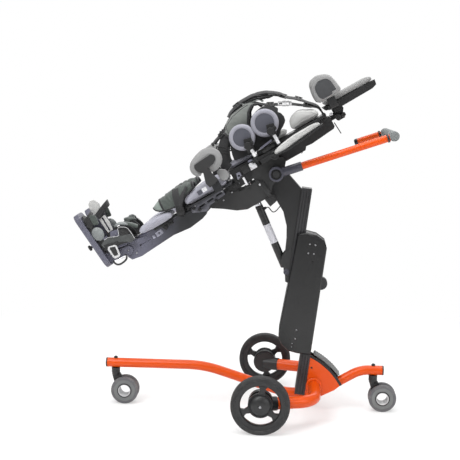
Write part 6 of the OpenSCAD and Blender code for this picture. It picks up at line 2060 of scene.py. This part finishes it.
for side in (-1, 1):
    tag = "_" + SIDE_NAME[side]
    body, place = "foot" + tag, FOOT[side]
    near = side < 0
    finish_piece("sandal_sole" + tag, sole_pad(side), place, SOFT_RUBBER, body,
                 ("sandal" + CAD_END[side],))

    cup = [(prism(HEEL_UPPER, 6, -3.5, 0, 1.2), upright(0, 0, side * 36)),
           (prism(HEEL_UPPER, 6, -3.5, 0, 1.2), upright(0, 0, -side * 32.5))]
    bends = [pi * (i / 12 - 0.5) for i in range(13)]
    rows = [[(9 + 111 * k / 8, 35.5 * sin(a), 50 - 18 * (k / 8) ** 1.3 - 9 * cos(a) + 9)
             for a in bends] for k in range(9)]
    shell, _ = two_sided(rows, [[(x, y * 0.91, z + 3.4) for x, y, z in row] for row in rows])
    cup.append(shell)
    finish_piece("heel_cup" + tag, cup, place, PLASTIC, body, turn=False)
    finish_piece("heel_band" + tag, prism(HEEL_BAND, 3, -2.6, 2.6, 1.2, 3),
                 place @ upright(0, 0, side * 39.4), RUBBER_GREY, body)
    rim = smooth_path([(x, side * 42.2, z) for x, z in (
        (28, 86), (46, 86), (78, 72), (92, 95), (116, 82), (121, 60), (120, 34))], 6)
    finish_piece("heel_edge" + tag, tube(rim, 0.9, (0, 1, 0), 10), place, PALE_PLASTIC, body,
                 turn=False)
    box = [(prism(HEEL_WINDOW, 4, -1.4, 1.4, 0.8), upright(0, 0, side * 40.2)),
           (turned([(0, 0), (5, 0), (6, 1), (6, 3), (4.5, 4), (2, 4), (1.6, 2.6), (0, 2.6)], 28),
            outward(98, 72, 41.4, side))]
    finish_piece("heel_window" + tag, box, place, CHARCOAL, body, turn=False)
    guard = [
        (prism(OUTER_GUARD, 5, -1.5, 1.5, 0.8), upright(0, 0, side * 38.2)),
        (turned([(0, 0), (4, 0), (4.6, 0.8), (4, 1.8), (0, 2.2)], 24), outward(73, 84, 39.6, side))]
    finish_piece("outer_guard" + tag, guard, place, SLATE, body, turn=False)

    slot = slot_outline(20, 128, 50, 3.0, radians(87))
    tab = plate(rounded_outline(SLOTTED, 4), [slot], -1.8, 1.8, 0.6)
    inward = -side * 30.0
    guards = [(tab, upright(0, 0, inward))]
    if not near:
        guards.append((prism(FLAP, 7, -2.2, 2.2, 1.4, 3), upright(0, 0, inward)))
    finish_piece("slotted_guard" + tag, guards, place, SPECKLED, body, turn=False)
    finish_piece("slotted_guard_back" + tag,
                 prism([(1, 104), (1, 176), (33, 178), (38, 160), (38, 126), (31, 94), (6, 94)], 5,
                       -1.2, 1.2, 0.6), place @ upright(0, 0, inward + side * 3.2), SLATE_DARK,
                 body)

    egg = turned(TOE_EGG, 48)
    egg.transform(Matrix.Diagonal((1.0, 1.18, 1.0, 1.0)))
    finish_piece("toe_egg" + tag, egg, place @ outward(20, 116, 30, side), RUBBER_PALE, body)
    patch = prism([(23, 148), (27, 186), (38, 184), (48, 174), (42, 142)], 5, -4, 4, 2.4, 3)
    finish_piece("toe_patch" + tag, patch, place @ upright(0, 0, side * 30), CUFF_CLOTH, body)

    straps = []
    if near:
        toe = arch_over(side, 34, 150, 150, 37, 34)
        second = arch_over(side, 30, 178, 170, 38, 12)
        ankle = smooth_path([(84, side * 30, 106), (99, side * 24, 106), (116, side * 18, 95),
                             (132, side * 12, 79), (145, side * 8, 62)], 8)
    else:
        toe = arch_over(side, 66, 168, 174, 37, 20)
        second = arch_over(side, 34, 166, 166, 38, 4)
        ankle = smooth_path([(84, side * 30, 104), (98, side * 20, 98), (106, side * 4, 92),
                             (104, -side * 18, 94), (92, -side * 33, 100)], 8)
    straps += [strap(toe, 22, 3.4, (0.2, 0, 1)), strap(second, 20, 3.0, (0.3, 0, 1))]
    straps.append(strap(smooth_path([(10, side * 39.5, 66), (30, side * 43.5, 60),
                                      (48, side * 43.5, 52), (66, side * 40.5, 52)], 8), 18, 3.0,
                         (0, 0, 1)))
    finish_piece("sandal_straps" + tag, straps, place, WEBBING, body, turn=False, angle=radians(50))
    half = len(ankle) * 6 // 10
    soft = sweep(ankle[:half + 1], flat_section(34, 8, 0.49), (0, 1, 0))
    finish_piece("ankle_pad" + tag, soft, place, RUBBER_PALE, body, angle=radians(60))
    finish_piece("ankle_tail" + tag,
                 sweep([p + Vector((0.5, 0, 0)) for p in ankle[half - 2:]],
                       flat_section(32, 11, 0.45), (0, 1, 0)), place, CUFF_CLOTH, body,
                 angle=radians(60))

    frame_outer = [(21, 17), (21, 54), (28, 60), (51, 53), (54, 46), (47, 13), (40, 10), (26, 12)]
    frame_inner = [(27, 20), (28, 52), (32, 54), (47, 48), (48, 44), (42, 18)]
    ring = plate(rounded_outline(frame_outer, 4), [rounded_outline(frame_inner, 3)], -3.0, 3.0, 1.0)
    finish_piece("heel_buckle" + tag, ring, place @ upright(0, 0, side * 46.4), PALE_PLASTIC, body)
    core = [(prism([(26, 19), (27, 53), (48, 48), (42, 16)], 3, -3.4, 3.4, 1.4, 3),
             upright(0, 0, side * 45.4)),
            (block(30, 44, -5, 5, 30, 40, 2), upright(0, 0, side * 42))]
    finish_piece("buckle_core" + tag, core, place, CHARCOAL, body, turn=False)

    hook = smooth_path([(61, side * 43, 6), (61, side * 43, -4), (52, side * 43, -12),
                        (30, side * 43, -14), (18, side * 43, -9), (13, side * 43, 2),
                        (15, side * 43, 10)], 7)
    finish_piece("angle_loop" + tag, tube(hook, 3.4, (0, 1, 0), 16), place, PLASTIC, body,
                 turn=False)
    finish_piece(
        "angle_rod" + tag,
        tube([Vector((17, side * 43, 6)), Vector((64, side * 43, -1))], 2.8, (0, 1, 0), 20), place,
        GLARE_WHITE, body, turn=False)
    knob = join_meshes([(lobed_knob(11, 11, 6, 0.12),
                         along(-31, side * 8, 90) @ Matrix.Rotation(radians(180), 4, "X")),
                        (turned([(0, 0), (4, 0), (4, 14), (0, 14)], 20),
                         along(-33.5, side * 8, 90))])
    finish_piece("plate_knob" + tag, knob, place, PLASTIC, body, turn=False)
print("feet made")

# %% [markdown]
# ## What still shows of the solid model
# A part whose own shape is already right keeps its solid mesh and only gets its finish.

# %% Finishes of the solid parts that stay
PLAIN_FINISH = {
    "red_paint": ORANGE, "black_paint": BLACK, "slate_paint": SLATE, "black_anodised": ANODISED,
    "rod_steel": STEEL, "black_plastic": PLASTIC, "dark_plastic": WHEEL_GREY,
    "pedal_grey": GREY_PLASTIC, "tyre": TYRE, "caster_tread": CASTER_TREAD,
    "grip_foam": GRIP_FOAM, "cable_rubber": SOFT_RUBBER, "grey_upholstery": PAD_GREY,
    "vest_fabric": VEST_CLOTH, "black_webbing": WEBBING,
}
for part in frame["record"]["subparts"]:
    node = nodes[part["node"]]
    node.data.materials.clear()
    node.data.materials.append(PLAIN_FINISH[part["material_slot"]])

# %% [markdown]
# ## Floor and light
# A pale floor that shows white to the camera but keeps the shadow, one large soft lamp above and
# to the left, a weaker one from the right, and a sky that is brighter above than below for the
# light it gives and white to the camera.

# %% Stage
FLOOR_HALF = 9.0
floor_mesh = bpy.data.meshes.new("floor")
floor_mesh.from_pydata([(-FLOOR_HALF, -FLOOR_HALF, 0), (FLOOR_HALF, -FLOOR_HALF, 0),
                        (FLOOR_HALF, FLOOR_HALF, 0), (-FLOOR_HALF, FLOOR_HALF, 0)], [],
                       [(0, 1, 2, 3)])
floor = new_object("floor", floor_mesh)
floor_graph = Graph("pale_floor")
seen = floor_graph.node("ShaderNodeLightPath", {}, out="Is Camera Ray")
diffuse = floor_graph.node("ShaderNodeBsdfDiffuse", {}, Color=(0.9, 0.9, 0.9, 1))
glow = floor_graph.node("ShaderNodeEmission", {}, Color=(1, 1, 1, 1), Strength=1.0)
NEAR_GLOW, FADE_FROM, FADE_TO = 0.45, 0.75, 1.9
across_x, across_y, _ = floor_graph.axes(floor_graph.place())
reach = (across_x * across_x + across_y * across_y) ** 0.5
fade = reach.bump(FADE_FROM, FADE_TO) * (1 - NEAR_GLOW) + NEAR_GLOW
shown = floor_graph.node("ShaderNodeMixShader", {}, seen * fade, diffuse, glow)
floor_graph.end("ShaderNodeOutputMaterial", shown)
floor_mesh.materials.append(floor_graph.material)
floor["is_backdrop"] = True


def lamp(name, at, aim, size, watts):
    light = bpy.data.lights.new(name, "AREA")
    light.shape, light.size, light.energy = "SQUARE", size, watts
    obj = bpy.data.objects.new(name, light)
    bpy.context.scene.collection.objects.link(obj)
    obj.location = at
    obj.rotation_euler = (Vector(aim) - Vector(at)).to_track_quat("-Z", "Y").to_euler()


lamp("key", (-1.5, -2.3, 3.3), (0.05, 0, 0.6), 2.0, 80)
lamp("above", (0.0, -0.2, 3.6), (0.0, 0, 0.8), 2.4, 70)
lamp("fill", (2.8, -2.2, 1.8), (0.05, 0, 0.7), 2.0, 34)
lamp("back", (0.4, 3.0, 2.6), (0.0, 0, 0.7), 2.5, 40)

world = bpy.data.worlds.new("studio")
bpy.context.scene.world = world
SKY_LOW, SKY_HIGH = 0.12, 0.88
sky = Graph("studio", world)
direct = sky.node("ShaderNodeMath", {"operation": "MAXIMUM"},
                  *(sky.node("ShaderNodeLightPath", {}, out=ray)
                    for ray in ("Is Camera Ray", "Is Transmission Ray")))
_, _, rise = sky.axes(sky.node("ShaderNodeTexCoord", {}, out="Generated"))
height = sky.node("ShaderNodeMapRange", {}, rise, -0.1, 1.0, SKY_LOW, SKY_HIGH)
level = sky.node("ShaderNodeMapRange", {}, direct, 0.0, 1.0, height, 1.0)
shine = sky.node("ShaderNodeBackground", {}, Color=(1, 1, 1, 1), Strength=level)
sky.end("ShaderNodeOutputWorld", shine)
bpy.context.scene.view_settings.view_transform = "Standard"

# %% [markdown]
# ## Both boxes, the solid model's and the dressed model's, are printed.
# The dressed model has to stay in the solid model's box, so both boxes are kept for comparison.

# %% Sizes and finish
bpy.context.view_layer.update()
for low_or_high in zip(cad_box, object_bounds()):
    print("box", [[round(c, 4) for c in corner] for corner in low_or_high])
